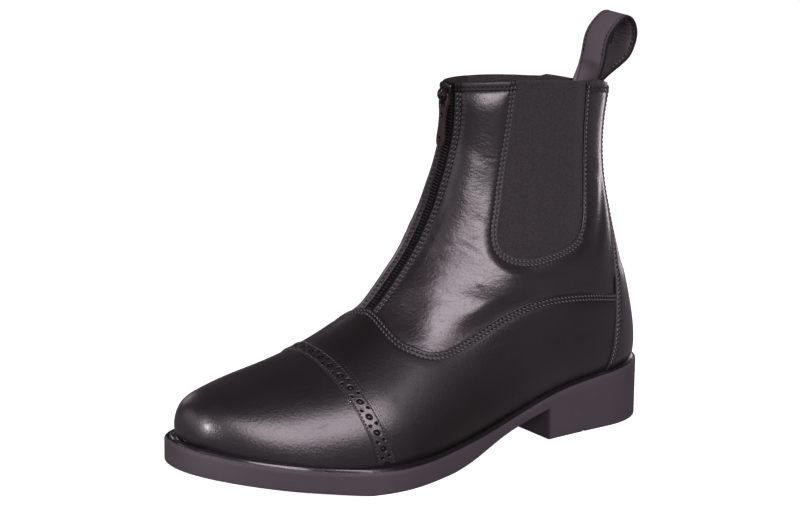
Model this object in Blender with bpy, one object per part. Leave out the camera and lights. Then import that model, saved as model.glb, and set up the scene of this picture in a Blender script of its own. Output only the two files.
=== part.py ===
"""Zip-front jodhpur boot for the left foot: hollow leather upper, moulded sole, gores, zip and pull loop.

Tables and sizes are in millimetres in the boot's own directions:
along runs from the heel's back to the toe, across is positive to the outer side, up is from the floor.
"""
import bmesh
import bpy
import numpy as np

# Sole sizes
SOLE_LENGTH = 288.0
HEEL_LENGTH = 74.5
HEEL_ROUND = 33.0
HEEL_POWER = 2.2
TOE_ROUND = 52.0
TOE_POWER = 2.1
EDGE_CHAMFER = 0.8
EDGE_LEAN = 0.1
TOP_BEVEL_DROP = 0.8
TOP_BEVEL_INSET = 0.6
TOP_BEVEL_RISE = 0.1
WELT_RISE = 2.2
WELT_CREST = 0.55
WELT_CREST_RISE = 0.3
SHOULDER_INSET = 0.9
SHOULDER_RISE = 1.2
WELT_CLEAR = 0.4
SEAT_INSET = 6.0
SOLE_STATIONS = 44
BREAST_CLEAR = 0.006
BREAST_PAIR = 0.0002

# Upper sizes
WALL = 2.2
GAP = 0.3
QUARTER_FACE = -0.5
VAMP_FACE = 0.2
TOE_TIP = 281.5
TIP_ROUND = 62.0
COLLAR_TILT = 2.9
COLLAR_CROWN = 2.3
TILT_START = 14.0
COLLAR_ROW = 19.0
FOOT_ROWS = 22
TOE_CROWDING = 1.2
SHAFT_ROWS = 12
RIBS = 26
HEEL_ROW_RANGE = (8.0, 14.0)
CUT_REACH = 90.0
CUT_START = 5.0
VAMP_BOX = (-20.0, 300.0, -30.0, 95.0)

# Overlay sizes
OVERLAY = 0.7
OVERLAY_GAP = 0.55
COUNTER_COLUMNS = 23
COUNTER_ROWS = 16
STRIP_DEPTH = 0.37
STRIP_REACH = 100.0
OVERLAY_CLEAR = 3.0
COUNTER_TOP = 182.6
COUNTER_STEP_UP = 88.0
COUNTER_STEP_RUN = 8.0
ELASTIC_SUNK = 0.5
ELASTIC_THICK = 1.4

# Zip sizes
SLOT_HALF = 4.3
SLOT_START_ROW = 7.72
SLOT_CUT = 7.0
SLOT_ABOVE = 8.0
TEETH_HALF = 2.2
TEETH_TOP = -0.1
TEETH_ROOT = 0.3
ZIP_END_ROWS = (0.04, 0.1)
TAPE_TOP = -1.5
TAPE_BACK = -2.5
SLIDER_ROW = 18.05
SLIDER_THICK = 2.0
SLIDER_BEVEL = 0.6
SLIDER_TOP_SHARE = (0.86, 0.92)
BRIDGE_HALF = 1.4
BRIDGE_RISE = 2.7
BRIDGE_THICK = 1.2
BRIDGE_REACH = 3.4
BRIDGE_SQUARE = 0.6
BRIDGE_FOOT = 0.5
TAB_THICK = 1.5
TAB_SWING = 7.0
TAB_HOLE_RADIUS = 1.2

# Insole and pull loop sizes
INSOLE_THICK = 3.0
INSOLE_INSET = 1.8
INSOLE_STATIONS = 30
STRAP_HALF = 9.75
STRAP_THICK = 2.0
STRAP_STATIONS = 44
STRAP_BOW = 5.4
STRAP_FLAT_UP = 196.0
STRAP_BOW_RUN = 12.0

# Sole outline: along, half width, centre across
SOLE_OUTLINE = (
    (0.0, 32.0, -0.3),
    (35.0, 32.0, -0.4),
    (70.0, 30.7, 1.1),
    (110.0, 32.0, 4.2),
    (150.0, 41.8, 5.4),
    (190.0, 51.6, 3.2),
    (225.0, 47.5, -1.2),
    (255.0, 44.0, -3.6),
    (288.0, 37.8, -6.9),
)

# Upper edge of the sole's side: along, up
SOLE_TOP = (
    (0.0, 32.5),
    (35.0, 29.3),
    (70.0, 24.5),
    (110.0, 14.6),
    (150.0, 10.8),
    (185.0, 10.8),
    (215.0, 12.8),
    (250.0, 19.3),
    (288.0, 26.8),
)

# Underside of the sole in front of the heel: along, up
SOLE_UNDER = (
    (74.5, 17.4),
    (110.0, 9.0),
    (135.0, 1.9),
    (150.0, 0.0),
    (205.0, 0.0),
    (230.0, 4.0),
    (255.0, 9.0),
    (288.0, 14.5),
)

# Sections of the upper from toe tip to collar, each an oval hung between ridge and keel:
# ridge along, ridge up, keel along, keel up, half width, squareness, ridge across, keel across
UPPER_SECTIONS = (
    (281.5, 27.6, 281.5, 27.6, 31.8, 2.3, -6.4, -6.9),
    (281.1, 38.1, 274.1, 19.0, 29.7, 2.3, -6.8, -5.1),
    (275.3, 47.6, 262.6, 1.1, 32.1, 2.3, -6.9, -2.8),
    (260.9, 51.6, 240.4, -13.2, 37.2, 2.3, -6.7, 0.1),
    (242.6, 55.4, 216.6, -18.9, 42.0, 2.2, -5.9, 3.2),
    (220.2, 59.0, 190.6, -16.4, 46.6, 2.2, -4.5, 5.9),
    (197.2, 65.7, 160.5, -7.0, 48.0, 2.1, -2.9, 7.1),
    (178.1, 75.1, 124.3, 4.5, 45.6, 2.1, -1.5, 6.1),
    (165.4, 85.5, 84.3, 13.6, 42.4, 2.1, -0.5, 3.4),
    (154.4, 98.0, 46.5, 18.7, 40.7, 2.1, 0.1, 0.9),
    (144.7, 110.1, 17.4, 19.5, 41.0, 2.1, 0.4, -0.4),
    (136.4, 123.9, 3.4, 26.9, 40.7, 2.1, 0.5, -0.6),
    (132.0, 133.6, 1.3, 43.5, 38.3, 2.1, 0.5, -0.3),
    (129.4, 142.1, 4.5, 63.7, 34.9, 2.1, 0.5, 0.0),
    (127.0, 150.3, 9.7, 85.3, 31.2, 2.1, 0.5, 0.1),
    (124.8, 160.0, 15.4, 106.6, 28.0, 2.1, 0.5, 0.1),
    (123.5, 170.0, 20.1, 126.9, 25.7, 2.1, 0.5, 0.0),
    (123.1, 180.2, 22.5, 146.4, 24.6, 2.1, 0.5, 0.0),
    (123.3, 190.0, 21.9, 165.2, 24.8, 2.1, 0.5, 0.0),
    (123.5, 196.3, 18.9, 183.6, 26.3, 2.1, 0.5, 0.0),
)

# Elastic gore window seen from the side: along, up
GORE_OUTLINE = (
    (95.0, 212.0),
    (95.1, 196.0),
    (96.3, 180.5),
    (99.2, 161.8),
    (103.8, 143.4),
    (108.4, 127.6),
    (110.7, 118.6),
    (110.2, 112.2),
    (107.1, 108.7),
    (101.7, 106.0),
    (92.8, 104.4),
    (81.4, 104.9),
    (68.6, 106.5),
    (58.2, 109.9),
    (52.7, 115.9),
    (49.1, 130.0),
    (47.1, 151.2),
    (46.9, 173.0),
    (48.0, 190.2),
    (48.0, 212.0),
)

# Upper edge of the vamp seen from the side, throat to heel: along, up
VAMP_EDGE = (
    (171.4, 95.0),
    (170.9, 78.9),
    (171.2, 73.5),
    (168.6, 69.2),
    (163.7, 66.5),
    (156.2, 64.7),
    (147.9, 65.6),
    (138.9, 68.3),
    (128.4, 72.0),
    (115.4, 76.7),
    (102.9, 80.4),
    (90.5, 82.7),
    (77.4, 83.0),
    (55.1, 80.2),
    (34.9, 75.4),
    (10.0, 69.0),
    (-20.0, 62.0),
)

# Heel counter and back strip: up, along at its front edge
COUNTER_EDGE = (
    (30.0, 35.0),
    (48.0, 35.0),
    (62.0, 33.0),
    (79.0, 29.3),
    (95.0, 25.8),
    (112.0, 24.0),
    (130.0, 25.0),
    (148.0, 26.4),
    (166.0, 25.6),
    (185.0, 22.6),
)

# Perforated strip: angle in degrees round the section, row of its front edge
STRIP_EDGE = (
    (-115.0, 5.42),
    (-60.0, 5.5),
    (-15.0, 5.49),
    (0.0, 5.44),
    (45.0, 5.26),
    (75.0, 5.16),
    (115.0, 5.05),
)

# Middle line of the pull strap, inner end first: along, up
STRAP_PATH = (
    (33.9, 170.0),
    (33.0, 177.0),
    (31.2, 184.0),
    (27.9, 191.0),
    (25.6, 198.0),
    (24.3, 204.5),
    (21.9, 211.0),
    (16.2, 216.8),
    (9.8, 219.4),
    (5.0, 216.8),
    (2.8, 210.3),
    (4.4, 203.2),
    (8.8, 198.0),
    (15.1, 194.0),
    (21.8, 190.4),
    (27.4, 186.2),
    (30.3, 179.5),
    (31.4, 170.0),
)

# Middle of the zip: row, across from the ridge
ZIP_MIDDLE = (
    (7.0, -3.2),
    (9.0, -3.2),
    (11.0, -3.7),
    (13.0, -2.8),
    (15.0, -1.6),
    (17.0, -0.2),
    (18.0, 0.0),
    (20.0, 0.0),
)

# Slider plate outline: across, along the zip
SLIDER_OUTLINE = (
    (-2.6, -6.2),
    (2.6, -6.2),
    (3.4, -4.8),
    (3.6, -1.0),
    (4.6, 3.0),
    (4.4, 5.2),
    (2.8, 6.2),
    (-2.8, 6.2),
    (-4.4, 5.2),
    (-4.6, 3.0),
    (-3.6, -1.0),
    (-3.4, -4.8),
)

# Pull tab, top to tip: distance below the hinge, half width
TAB_OUTLINE = (
    (-1.0, 3.2),
    (1.0, 3.5),
    (6.0, 3.5),
    (9.0, 2.8),
    (13.0, 2.4),
    (20.0, 2.7),
    (25.0, 2.9),
    (27.2, 2.4),
)
TAB_EYE_TOP = 1.0
TAB_EYE_BOTTOM = 6.6
TAB_EYE_HALF = 2.1
TAB_HOLES = (11.0, 23.6)


def smooth_curve(knots, values):
    """Natural cubic through the rows of a table, as a function of the knot column."""
    knots = np.asarray(knots, float)
    values = np.asarray(values, float)
    count = len(knots)
    step = np.diff(knots)
    matrix = np.eye(count)
    target = np.zeros(count)
    for i in range(1, count - 1):
        matrix[i, i - 1:i + 2] = step[i - 1], 2 * (step[i - 1] + step[i]), step[i]
        target[i] = 6 * ((values[i + 1] - values[i]) / step[i] - (values[i] - values[i - 1]) / step[i - 1])
    bend = np.linalg.solve(matrix, target)

    def at(x):
        x = np.asarray(x, float)
        i = np.clip(np.searchsorted(knots, x) - 1, 0, count - 2)
        before = x - knots[i]
        after = knots[i + 1] - x
        span = step[i]
        curve = (bend[i] * after ** 3 + bend[i + 1] * before ** 3) / (6 * span)
        line = (values[i] / span - bend[i] * span / 6) * after
        return curve + line + (values[i + 1] / span - bend[i + 1] * span / 6) * before
    return at


def column_curves(table):
    """One smooth curve per column after the first, over the first column."""
    rows = np.array(table)
    return [smooth_curve(rows[:, 0], rows[:, k]) for k in range(1, rows.shape[1])]


outline_half, outline_centre = column_curves(SOLE_OUTLINE)
side_top = column_curves(SOLE_TOP)[0]
under_curve = column_curves(SOLE_UNDER)[0]
counter_front = column_curves(COUNTER_EDGE)[0]
strip_front = column_curves(STRIP_EDGE)[0]
zip_middle = column_curves(ZIP_MIDDLE)[0]
SECTION_ARRAY = np.array(UPPER_SECTIONS)
section_columns = [smooth_curve(np.arange(len(SECTION_ARRAY)), SECTION_ARRAY[:, k]) for k in range(8)]


def rounded_end(share, power):
    """Half width of a rounded end, from 0 at its tip to 1 where the end runs into the sides."""
    share = np.clip(share, 0.0, 1.0)
    return (1 - (1 - share) ** power) ** (1 / power)


def feather_up(along):
    """Height of the line where the upper meets the sole."""
    return side_top(along) + WELT_RISE


def sole_edge(share, side, inset):
    """Sole outline drawn in by inset: share runs from 0 at the heel to 1 at the toe."""
    along = inset + (SOLE_LENGTH - 2 * inset) * share
    heel = rounded_end((along - inset) / HEEL_ROUND, HEEL_POWER)
    toe = rounded_end((SOLE_LENGTH - inset - along) / TOE_ROUND, TOE_POWER)
    across = outline_centre(along) + side * (outline_half(along) - inset) * heel * toe
    return along, across


def upper_point(row, angle):
    """Outer face of the upper: angle 0 is the ridge, 180 degrees the keel or the back."""
    ridge_along, ridge_up, keel_along, keel_up, half, square, ridge_across, keel_across = [
        column(row) for column in section_columns]
    share = (1 - np.cos(angle)) / 2
    half = half * rounded_end((TOE_TIP - keel_along) / TIP_ROUND, TOE_POWER)
    swing = np.sin(angle)
    across = ridge_across + (keel_across - ridge_across) * share
    across = across + half * np.sign(swing) * np.abs(swing) ** (2 / square)
    along = ridge_along + (keel_along - ridge_along) * share
    rise = np.clip((row - TILT_START) / (COLLAR_ROW - TILT_START), 0, 1) ** 2
    up = ridge_up + (keel_up - ridge_up) * share + rise * (COLLAR_TILT * swing + COLLAR_CROWN * swing ** 2)
    return np.stack(np.broadcast_arrays(along, across, up), -1)


def upper_lifted(row, angle, lift):
    """Outer face moved out by lift along its own normal, or in where lift is negative."""
    row, angle, lift = np.broadcast_arrays(*[np.asarray(item, float) for item in (row, angle, lift)])
    row_step = 0.02
    angle_step = 0.02
    safe_row = np.maximum(row, 2 * row_step)
    down_rows = upper_point(safe_row + row_step, angle) - upper_point(safe_row - row_step, angle)
    round_ribs = upper_point(safe_row, angle + angle_step) - upper_point(safe_row, angle - angle_step)
    normal = np.cross(round_ribs, down_rows)
    normal = normal / np.linalg.norm(normal, axis=-1, keepdims=True)
    return upper_point(row, angle) + normal * lift[..., None]


def end_angle(row, level):
    """Angle at which a section comes down to the feather line raised by level, 180 degrees behind the heel."""
    row = np.asarray(row, float)
    low = np.zeros_like(row)
    high = np.ones_like(row)
    for _ in range(40):
        middle = (low + high) / 2
        point = upper_point(row, np.arccos(1 - 2 * middle))
        above = point[..., 2] > feather_up(np.clip(point[..., 0], 0, SOLE_LENGTH)) + level
        low = np.where(above, middle, low)
        high = np.where(above, high, middle)
    share = np.where(high > 0.99999, 1.0, high)
    return np.arccos(1 - 2 * share)


def side_point(along, up, side, lift):
    """Point of the upper seen from the side at along and up, on the outer (+1) or inner (-1) side."""
    along, up, side = np.broadcast_arrays(*[np.asarray(item, float) for item in (along, up, side)])
    low = np.full(along.shape, 0.2)
    high = np.full(along.shape, COLLAR_ROW + 0.4)
    for _ in range(40):
        middle = (low + high) / 2
        ridge_along, ridge_up, keel_along, keel_up = [column(middle) for column in section_columns[:4]]
        turn = (keel_along - ridge_along) * (up - ridge_up) - (keel_up - ridge_up) * (along - ridge_along)
        low = np.where(turn < 0, middle, low)
        high = np.where(turn < 0, high, middle)
    ridge_along, ridge_up, keel_along, keel_up = [column(low) for column in section_columns[:4]]
    chord = np.stack([keel_along - ridge_along, keel_up - ridge_up], -1)
    reach = (along - ridge_along) * chord[..., 0] + (up - ridge_up) * chord[..., 1]
    share = np.clip(reach / np.sum(chord ** 2, axis=-1), 0.0, 1.0)
    return upper_lifted(low, side * np.arccos(1 - 2 * share), lift)


def back_along(up):
    """Where the back of the boot is at a height."""
    rows = np.linspace(10.5, COLLAR_ROW, 400)
    return np.interp(up, section_columns[3](rows), section_columns[2](rows))


def heel_row(level):
    """Row whose section just reaches the feather line at the back of the heel."""
    rows = np.linspace(*HEEL_ROW_RANGE, 3001)
    reached = end_angle(rows, level) > np.pi - 1e-6
    return rows[np.argmax(reached)]


def section_rows(level):
    """Rows from the toe tip to the collar, close together at toe and heel."""
    last = heel_row(level)
    rows = np.linspace(0, last, 1500)
    along = upper_point(rows, end_angle(rows, level))[..., 0]
    share = (along[0] - along) / (along[0] - along[-1])
    wanted = (1 - np.cos(np.pi * np.linspace(0, 1, FOOT_ROWS) ** TOE_CROWDING)) / 2
    foot = np.interp(wanted, np.maximum.accumulate(share), rows)
    shaft = np.linspace(last, COLLAR_ROW, SHAFT_ROWS + 1)[1:]
    return np.concatenate([foot, shaft])


def place(points):
    """Boot directions in millimetres to the shared frame in metres: toe to -Y, outer side to +X."""
    points = np.asarray(points, float)
    return np.stack([points[..., 1], SOLE_LENGTH / 2 - points[..., 0], points[..., 2]], -1) / 1000


def make_material(name, colour, roughness):
    material = bpy.data.materials.new(name)
    material.use_nodes = True
    shader = material.node_tree.nodes["Principled BSDF"]
    shader.inputs["Base Color"].default_value = (*colour, 1.0)
    shader.inputs["Roughness"].default_value = roughness
    return material


def make_object(name, points, faces, material=None, smooth=True):
    """One closed body from points in millimetres and faces, with coincident points joined."""
    mesh = bpy.data.meshes.new(name)
    mesh.from_pydata(place(points).tolist(), [], [list(face) for face in faces])
    body = bmesh.new()
    body.from_mesh(mesh)
    bmesh.ops.remove_doubles(body, verts=body.verts, dist=2e-6)
    bmesh.ops.dissolve_degenerate(body, edges=body.edges, dist=2e-6)
    bmesh.ops.recalc_face_normals(body, faces=body.faces)
    for face in body.faces:
        face.smooth = smooth
    body.to_mesh(mesh)
    body.free()
    if material:
        mesh.materials.append(material)
    item = bpy.data.objects.new(name, mesh)
    bpy.context.scene.collection.objects.link(item)
    return item


def grid_faces(rows, columns, start=0, wrap=False):
    """Quads of a grid of points stored row by row."""
    last = columns if wrap else columns - 1
    faces = []
    for i in range(rows - 1):
        for j in range(last):
            k = (j + 1) % columns
            faces.append((start + i * columns + j, start + i * columns + k,
                          start + (i + 1) * columns + k, start + (i + 1) * columns + j))
    return faces


def slab_between(outer, inner):
    """Closed body between two grids of the same size, joined round their edge."""
    rows, columns = outer.shape[:2]
    count = rows * columns
    faces = grid_faces(rows, columns) + grid_faces(rows, columns, count)
    index = np.arange(count).reshape(rows, columns)
    border = np.concatenate([index[0, :], index[1:, -1], index[-1, -2::-1], index[-2:0:-1, 0]])
    for a, b in zip(border, np.roll(border, -1)):
        faces.append((a, b, b + count, a + count))
    return np.concatenate([outer.reshape(-1, 3), inner.reshape(-1, 3)]), faces


def upper_shell(name, lift_out, lift_in, level, material=None):
    """Hollow body of the upper's shape between two lifts, open at the collar and along the feather line."""
    rows = section_rows(level)
    ends = end_angle(rows, level)
    ends[FOOT_ROWS - 1:] = np.pi
    angles = np.linspace(-1, 1, RIBS + 1)[None, :] * ends[:, None]
    outer = upper_lifted(rows[:, None], angles, lift_out)
    inner = upper_lifted(rows[:, None], angles, lift_in)
    for grid, lift in ((outer, lift_out), (inner, lift_in)):
        grid[0] = upper_point(0.0, 0.0) + (lift, 0, 0)
        back = (grid[FOOT_ROWS - 1:, 0] + grid[FOOT_ROWS - 1:, -1]) / 2
        grid[FOOT_ROWS - 1:, 0] = back
        grid[FOOT_ROWS - 1:, -1] = back
    columns = RIBS + 1
    count = len(rows) * columns
    faces = grid_faces(len(rows), columns) + grid_faces(len(rows), columns, count)
    index = np.arange(count).reshape(len(rows), columns)
    rims = [index[:FOOT_ROWS, 0], index[:FOOT_ROWS, -1], index[-1, :]]
    for rim in rims:
        faces += [(a, b, b + count, a + count) for a, b in zip(rim[:-1], rim[1:])]
    return make_object(name, np.concatenate([outer.reshape(-1, 3), inner.reshape(-1, 3)]), faces, material)


def side_prism(name, outline, across_from, across_to):
    """Straight block whose outline is seen from the boot's side."""
    outline = np.array(outline)
    count = len(outline)
    near = np.stack([outline[:, 0], np.full(count, across_from), outline[:, 1]], -1)
    far = np.stack([outline[:, 0], np.full(count, across_to), outline[:, 1]], -1)
    faces = [tuple(range(count)), tuple(range(2 * count - 1, count - 1, -1))]
    faces += [(i, (i + 1) % count, (i + 1) % count + count, i + count) for i in range(count)]
    return make_object(name, np.concatenate([near, far]), faces, smooth=False)


def combine(target, tool, operation):
    """Join, cut or meet two closed bodies, leaving the result in the first."""
    modifier = target.modifiers.new(operation.lower(), "BOOLEAN")
    modifier.operation = operation
    modifier.solver = "EXACT"
    modifier.object = tool
    graph = bpy.context.evaluated_depsgraph_get()
    result = bpy.data.meshes.new_from_object(target.evaluated_get(graph))
    target.modifiers.remove(modifier)
    body = bmesh.new()
    body.from_mesh(result)
    bmesh.ops.remove_doubles(body, verts=body.verts, dist=2e-5)
    bmesh.ops.dissolve_degenerate(body, edges=body.edges, dist=2e-5)
    bmesh.ops.triangulate(body, faces=body.faces)
    for face in body.faces:
        face.smooth = True
    body.to_mesh(result)
    body.free()
    target.data = result
    bpy.data.objects.remove(tool)


def drawn_in(outline, amount):
    """Outline moved inwards by amount, each corner along the mean of its two sides' normals."""
    outline = np.array(outline)
    before = outline - np.roll(outline, 1, axis=0)
    after = np.roll(outline, -1, axis=0) - outline
    sides = []
    for edge in (before, after):
        sides.append(np.stack([-edge[:, 1], edge[:, 0]], -1) / np.linalg.norm(edge, axis=1, keepdims=True))
    turn = np.sum(outline[:, 0] * np.roll(outline[:, 1], -1) - np.roll(outline[:, 0], -1) * outline[:, 1])
    normal = (sides[0] + sides[1]) * np.sign(turn)
    normal = normal / np.sum(normal * sides[1] * np.sign(turn), axis=1, keepdims=True)
    return outline + amount * normal


def rim_ring(share, side, level, lift):
    """Point near the upper's lower edge at a share of the way from heel to toe, lifted off its outer face."""
    last = heel_row(level)
    rows = np.linspace(0, last, 1500)
    angles = end_angle(rows, level)
    along = upper_point(rows, angles)[..., 0]
    from_heel = (along - along[-1]) / (along[0] - along[-1])
    order = np.argsort(from_heel)
    row = np.interp(share, from_heel[order], rows[order])
    return upper_lifted(row, side * end_angle(row, level), lift)


def sole_shares():
    """Stations along the sole, close together at heel and toe, with a pair at the heel breast."""
    shares = (1 - np.cos(np.pi * np.linspace(0, 1, SOLE_STATIONS))) / 2
    breast = HEEL_LENGTH / SOLE_LENGTH
    shares = shares[np.abs(shares - breast) > BREAST_CLEAR]
    return np.sort(np.concatenate([shares, [breast - BREAST_PAIR, breast + BREAST_PAIR]]))


def loop_of(shares, point_at):
    """Closed ring of points: outer side from heel to toe, then inner side back to the heel."""
    outer = point_at(shares, 1)
    inner = point_at(shares, -1)
    return np.concatenate([outer, inner[-2:0:-1]])


def ring_body(rings, stations):
    """Closed body from stacked rings, first and last ring closed by strips from side to side."""
    size = len(rings[0])
    faces = grid_faces(len(rings), size, wrap=True)
    for start in (0, (len(rings) - 1) * size):
        for i in range(stations - 1):
            inner_low = (size - i) % size
            inner_high = size - i - 1
            faces.append((start + i, start + i + 1, start + inner_high, start + inner_low))
    return np.concatenate(rings), faces


def build_sole(material):
    """Moulded unit sole: heel block, arched waist, sprung toe, and a rounded welt up to the upper."""
    shares = sole_shares()
    breast = HEEL_LENGTH / SOLE_LENGTH

    def under(share, along):
        return np.where(share < breast, 0.0, np.maximum(under_curve(np.maximum(along, HEEL_LENGTH)), 0.0))

    def side_ring(inset, height):
        def point_at(share, side):
            along, across = sole_edge(share, side, inset)
            return np.stack([along, across, height(share, along)], -1)
        return loop_of(shares, point_at)

    def welt_ring(level, lift):
        return loop_of(shares, lambda share, side: rim_ring(share, side, level, lift))

    def seat_ring(depth):
        ring = welt_ring(0.0, -depth)
        ring[:, 2] = feather_up(ring[:, 0]) - GAP
        return ring

    shoulder = side_ring(SHOULDER_INSET, lambda share, along: side_top(along) + SHOULDER_RISE)
    foot = welt_ring(0.0, VAMP_FACE + WELT_CLEAR)
    crest = shoulder + (foot - shoulder) * WELT_CREST
    for ring, rise in ((crest, WELT_CREST_RISE), (foot, -GAP)):
        ring[:, 2] = feather_up(np.clip(ring[:, 0], 0, SOLE_LENGTH)) + rise
    rings = [
        side_ring(EDGE_CHAMFER, under),
        side_ring(EDGE_LEAN, lambda share, along: under(share, along) + EDGE_CHAMFER),
        side_ring(0.0, lambda share, along: side_top(along) - TOP_BEVEL_DROP),
        side_ring(TOP_BEVEL_INSET, lambda share, along: side_top(along) + TOP_BEVEL_RISE),
        shoulder,
        crest,
        foot,
        seat_ring(SEAT_INSET),
    ]
    return make_object("outsole", *ring_body(rings, len(shares)), material)


def build_insole(material):
    """Footbed sheet that covers the sole inside the upper."""
    shares = (1 - np.cos(np.pi * np.linspace(0, 1, INSOLE_STATIONS))) / 2
    edge = QUARTER_FACE - WALL - INSOLE_INSET

    def sheet(height):
        ring = loop_of(shares, lambda share, side: rim_ring(share, side, 0.0, edge))
        ring[:, 2] = feather_up(ring[:, 0]) + height
        return ring

    rings = [sheet(0.0), sheet(INSOLE_THICK)]
    return make_object("insole", *ring_body(rings, len(shares)), material)


def zip_sweep(name, profile, first_row, last_row, count, material=None, above=0.0):
    """Profile of across and lift swept up the front of the upper, with a straight end above the collar."""
    rows = np.linspace(first_row, last_row, count)[:, None]
    profile = np.array(profile)
    half = section_columns[4](rows)
    square = section_columns[5](rows)
    across = profile[None, :, 0] + zip_middle(rows)
    angle = np.sign(across) * np.arcsin((np.abs(across) / half) ** (square / 2))
    points = upper_lifted(rows, angle, profile[None, :, 1])
    if above:
        points = np.concatenate([points, points[-1:] + (0.0, 0.0, above)])
    rings = len(points)
    size = len(profile)
    faces = grid_faces(rings, size, wrap=True)
    faces += [tuple(range(size)), tuple(range(rings * size - 1, (rings - 1) * size - 1, -1))]
    return make_object(name, points.reshape(-1, 3), faces, material)


def build_upper(material):
    """One leather wall with the vamp a step thicker, cut open for the gores and the zip."""
    upper = upper_shell("upper", QUARTER_FACE, QUARTER_FACE - WALL, 0.0, material)
    vamp = upper_shell("vamp_step", VAMP_FACE, QUARTER_FACE - WALL / 2, 0.5)
    back, front, low, high = VAMP_BOX
    below = list(VAMP_EDGE) + [(back, low), (front, low), (front, high)]
    combine(vamp, side_prism("vamp_outline", below, -CUT_REACH, CUT_REACH), "INTERSECT")
    combine(upper, vamp, "UNION")
    for side in (1, -1):
        window = side_prism("gore_window", GORE_OUTLINE, side * CUT_START, side * CUT_REACH)
        combine(upper, window, "DIFFERENCE")
    slot = [(-SLOT_HALF, -SLOT_CUT), (SLOT_HALF, -SLOT_CUT), (SLOT_HALF, SLOT_CUT), (-SLOT_HALF, SLOT_CUT)]
    cutter = zip_sweep("zip_slot", slot, SLOT_START_ROW, COLLAR_ROW, 30, above=SLOT_ABOVE)
    combine(upper, cutter, "DIFFERENCE")
    upper.data.materials.clear()
    upper.data.materials.append(material)
    return upper


def build_gore(name, side, material):
    """Elastic panel set just inside its window."""
    face = QUARTER_FACE - ELASTIC_SUNK
    gore = upper_shell(name, face, face - ELASTIC_THICK, 0.0, material)
    window = side_prism("gore_outline", drawn_in(GORE_OUTLINE, GAP), side * CUT_START, side * CUT_REACH)
    combine(gore, window, "INTERSECT")
    gore.data.materials.clear()
    gore.data.materials.append(material)
    return gore


def build_strip(material):
    """Perforated band across the vamp behind the toe cap, from welt to welt."""
    turn = np.linspace(-1, 1, RIBS + 1)[None, :]
    depth = np.linspace(0, STRIP_DEPTH, 4)[:, None]
    ends = end_angle(strip_front(turn * STRIP_REACH) + depth, OVERLAY_CLEAR)
    angles = turn * ends
    rows = strip_front(np.degrees(angles)) + depth
    base = VAMP_FACE + OVERLAY_GAP
    outer = upper_lifted(rows, angles, base + OVERLAY)
    inner = upper_lifted(rows, angles, base)
    return make_object("brogue_strip", *slab_between(outer, inner), material)


def build_counter(material):
    """Heel counter that narrows upwards into the strip over the back seam."""
    turn = np.sin(np.linspace(-0.5, 0.5, COUNTER_COLUMNS) * np.pi)[None, :]
    climb = np.linspace(0, 1, COUNTER_ROWS)[:, None]
    low = feather_up(COUNTER_EDGE[0][1] * turn ** 2) + OVERLAY_CLEAR
    up = low + (COUNTER_TOP - low) * climb
    back = back_along(up)
    along = back + (counter_front(up) - back) * turn ** 2
    over_vamp = np.clip((COUNTER_STEP_UP - up) / COUNTER_STEP_RUN, 0, 1)
    base = OVERLAY_GAP + QUARTER_FACE + (VAMP_FACE - QUARTER_FACE) * over_vamp
    side = np.where(turn < 0, -1.0, 1.0)
    outer = side_point(along, up, side, base + OVERLAY)
    inner = side_point(along, up, side, base)
    return make_object("heel_counter", *slab_between(outer, inner), material)


def build_zip(material):
    """Zip tape with the closed row of teeth standing on it."""
    edge = SLOT_HALF - GAP
    root = TEETH_HALF + TEETH_ROOT
    bottom, top = ZIP_END_ROWS
    profile = [
        (-edge, TAPE_BACK), (edge, TAPE_BACK), (edge, TAPE_TOP), (root, TAPE_TOP),
        (TEETH_HALF, TEETH_TOP), (-TEETH_HALF, TEETH_TOP), (-root, TAPE_TOP), (-edge, TAPE_TOP),
    ]
    return zip_sweep("zip_teeth", profile, SLOT_START_ROW + bottom, COLLAR_ROW - top, 26, material)


def slider_frame():
    """Point on the front of the upper under the slider, with its up-the-zip and outward directions."""
    here = upper_point(SLIDER_ROW, 0.0)
    climb = upper_point(SLIDER_ROW + 0.3, 0.0) - upper_point(SLIDER_ROW - 0.3, 0.0)
    climb = climb / np.linalg.norm(climb)
    outward = np.array([climb[2], 0.0, -climb[0]])
    return here, climb, outward


def on_slider(across, climb_by, lift):
    """Boot point from across, distance up the zip and lift off the leather, at the slider."""
    here, climb, outward = slider_frame()
    across, climb_by, lift = np.broadcast_arrays(across, climb_by, lift)
    sideways = np.array([0.0, 1.0, 0.0])
    return here + across[..., None] * sideways + climb_by[..., None] * climb + lift[..., None] * outward


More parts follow.
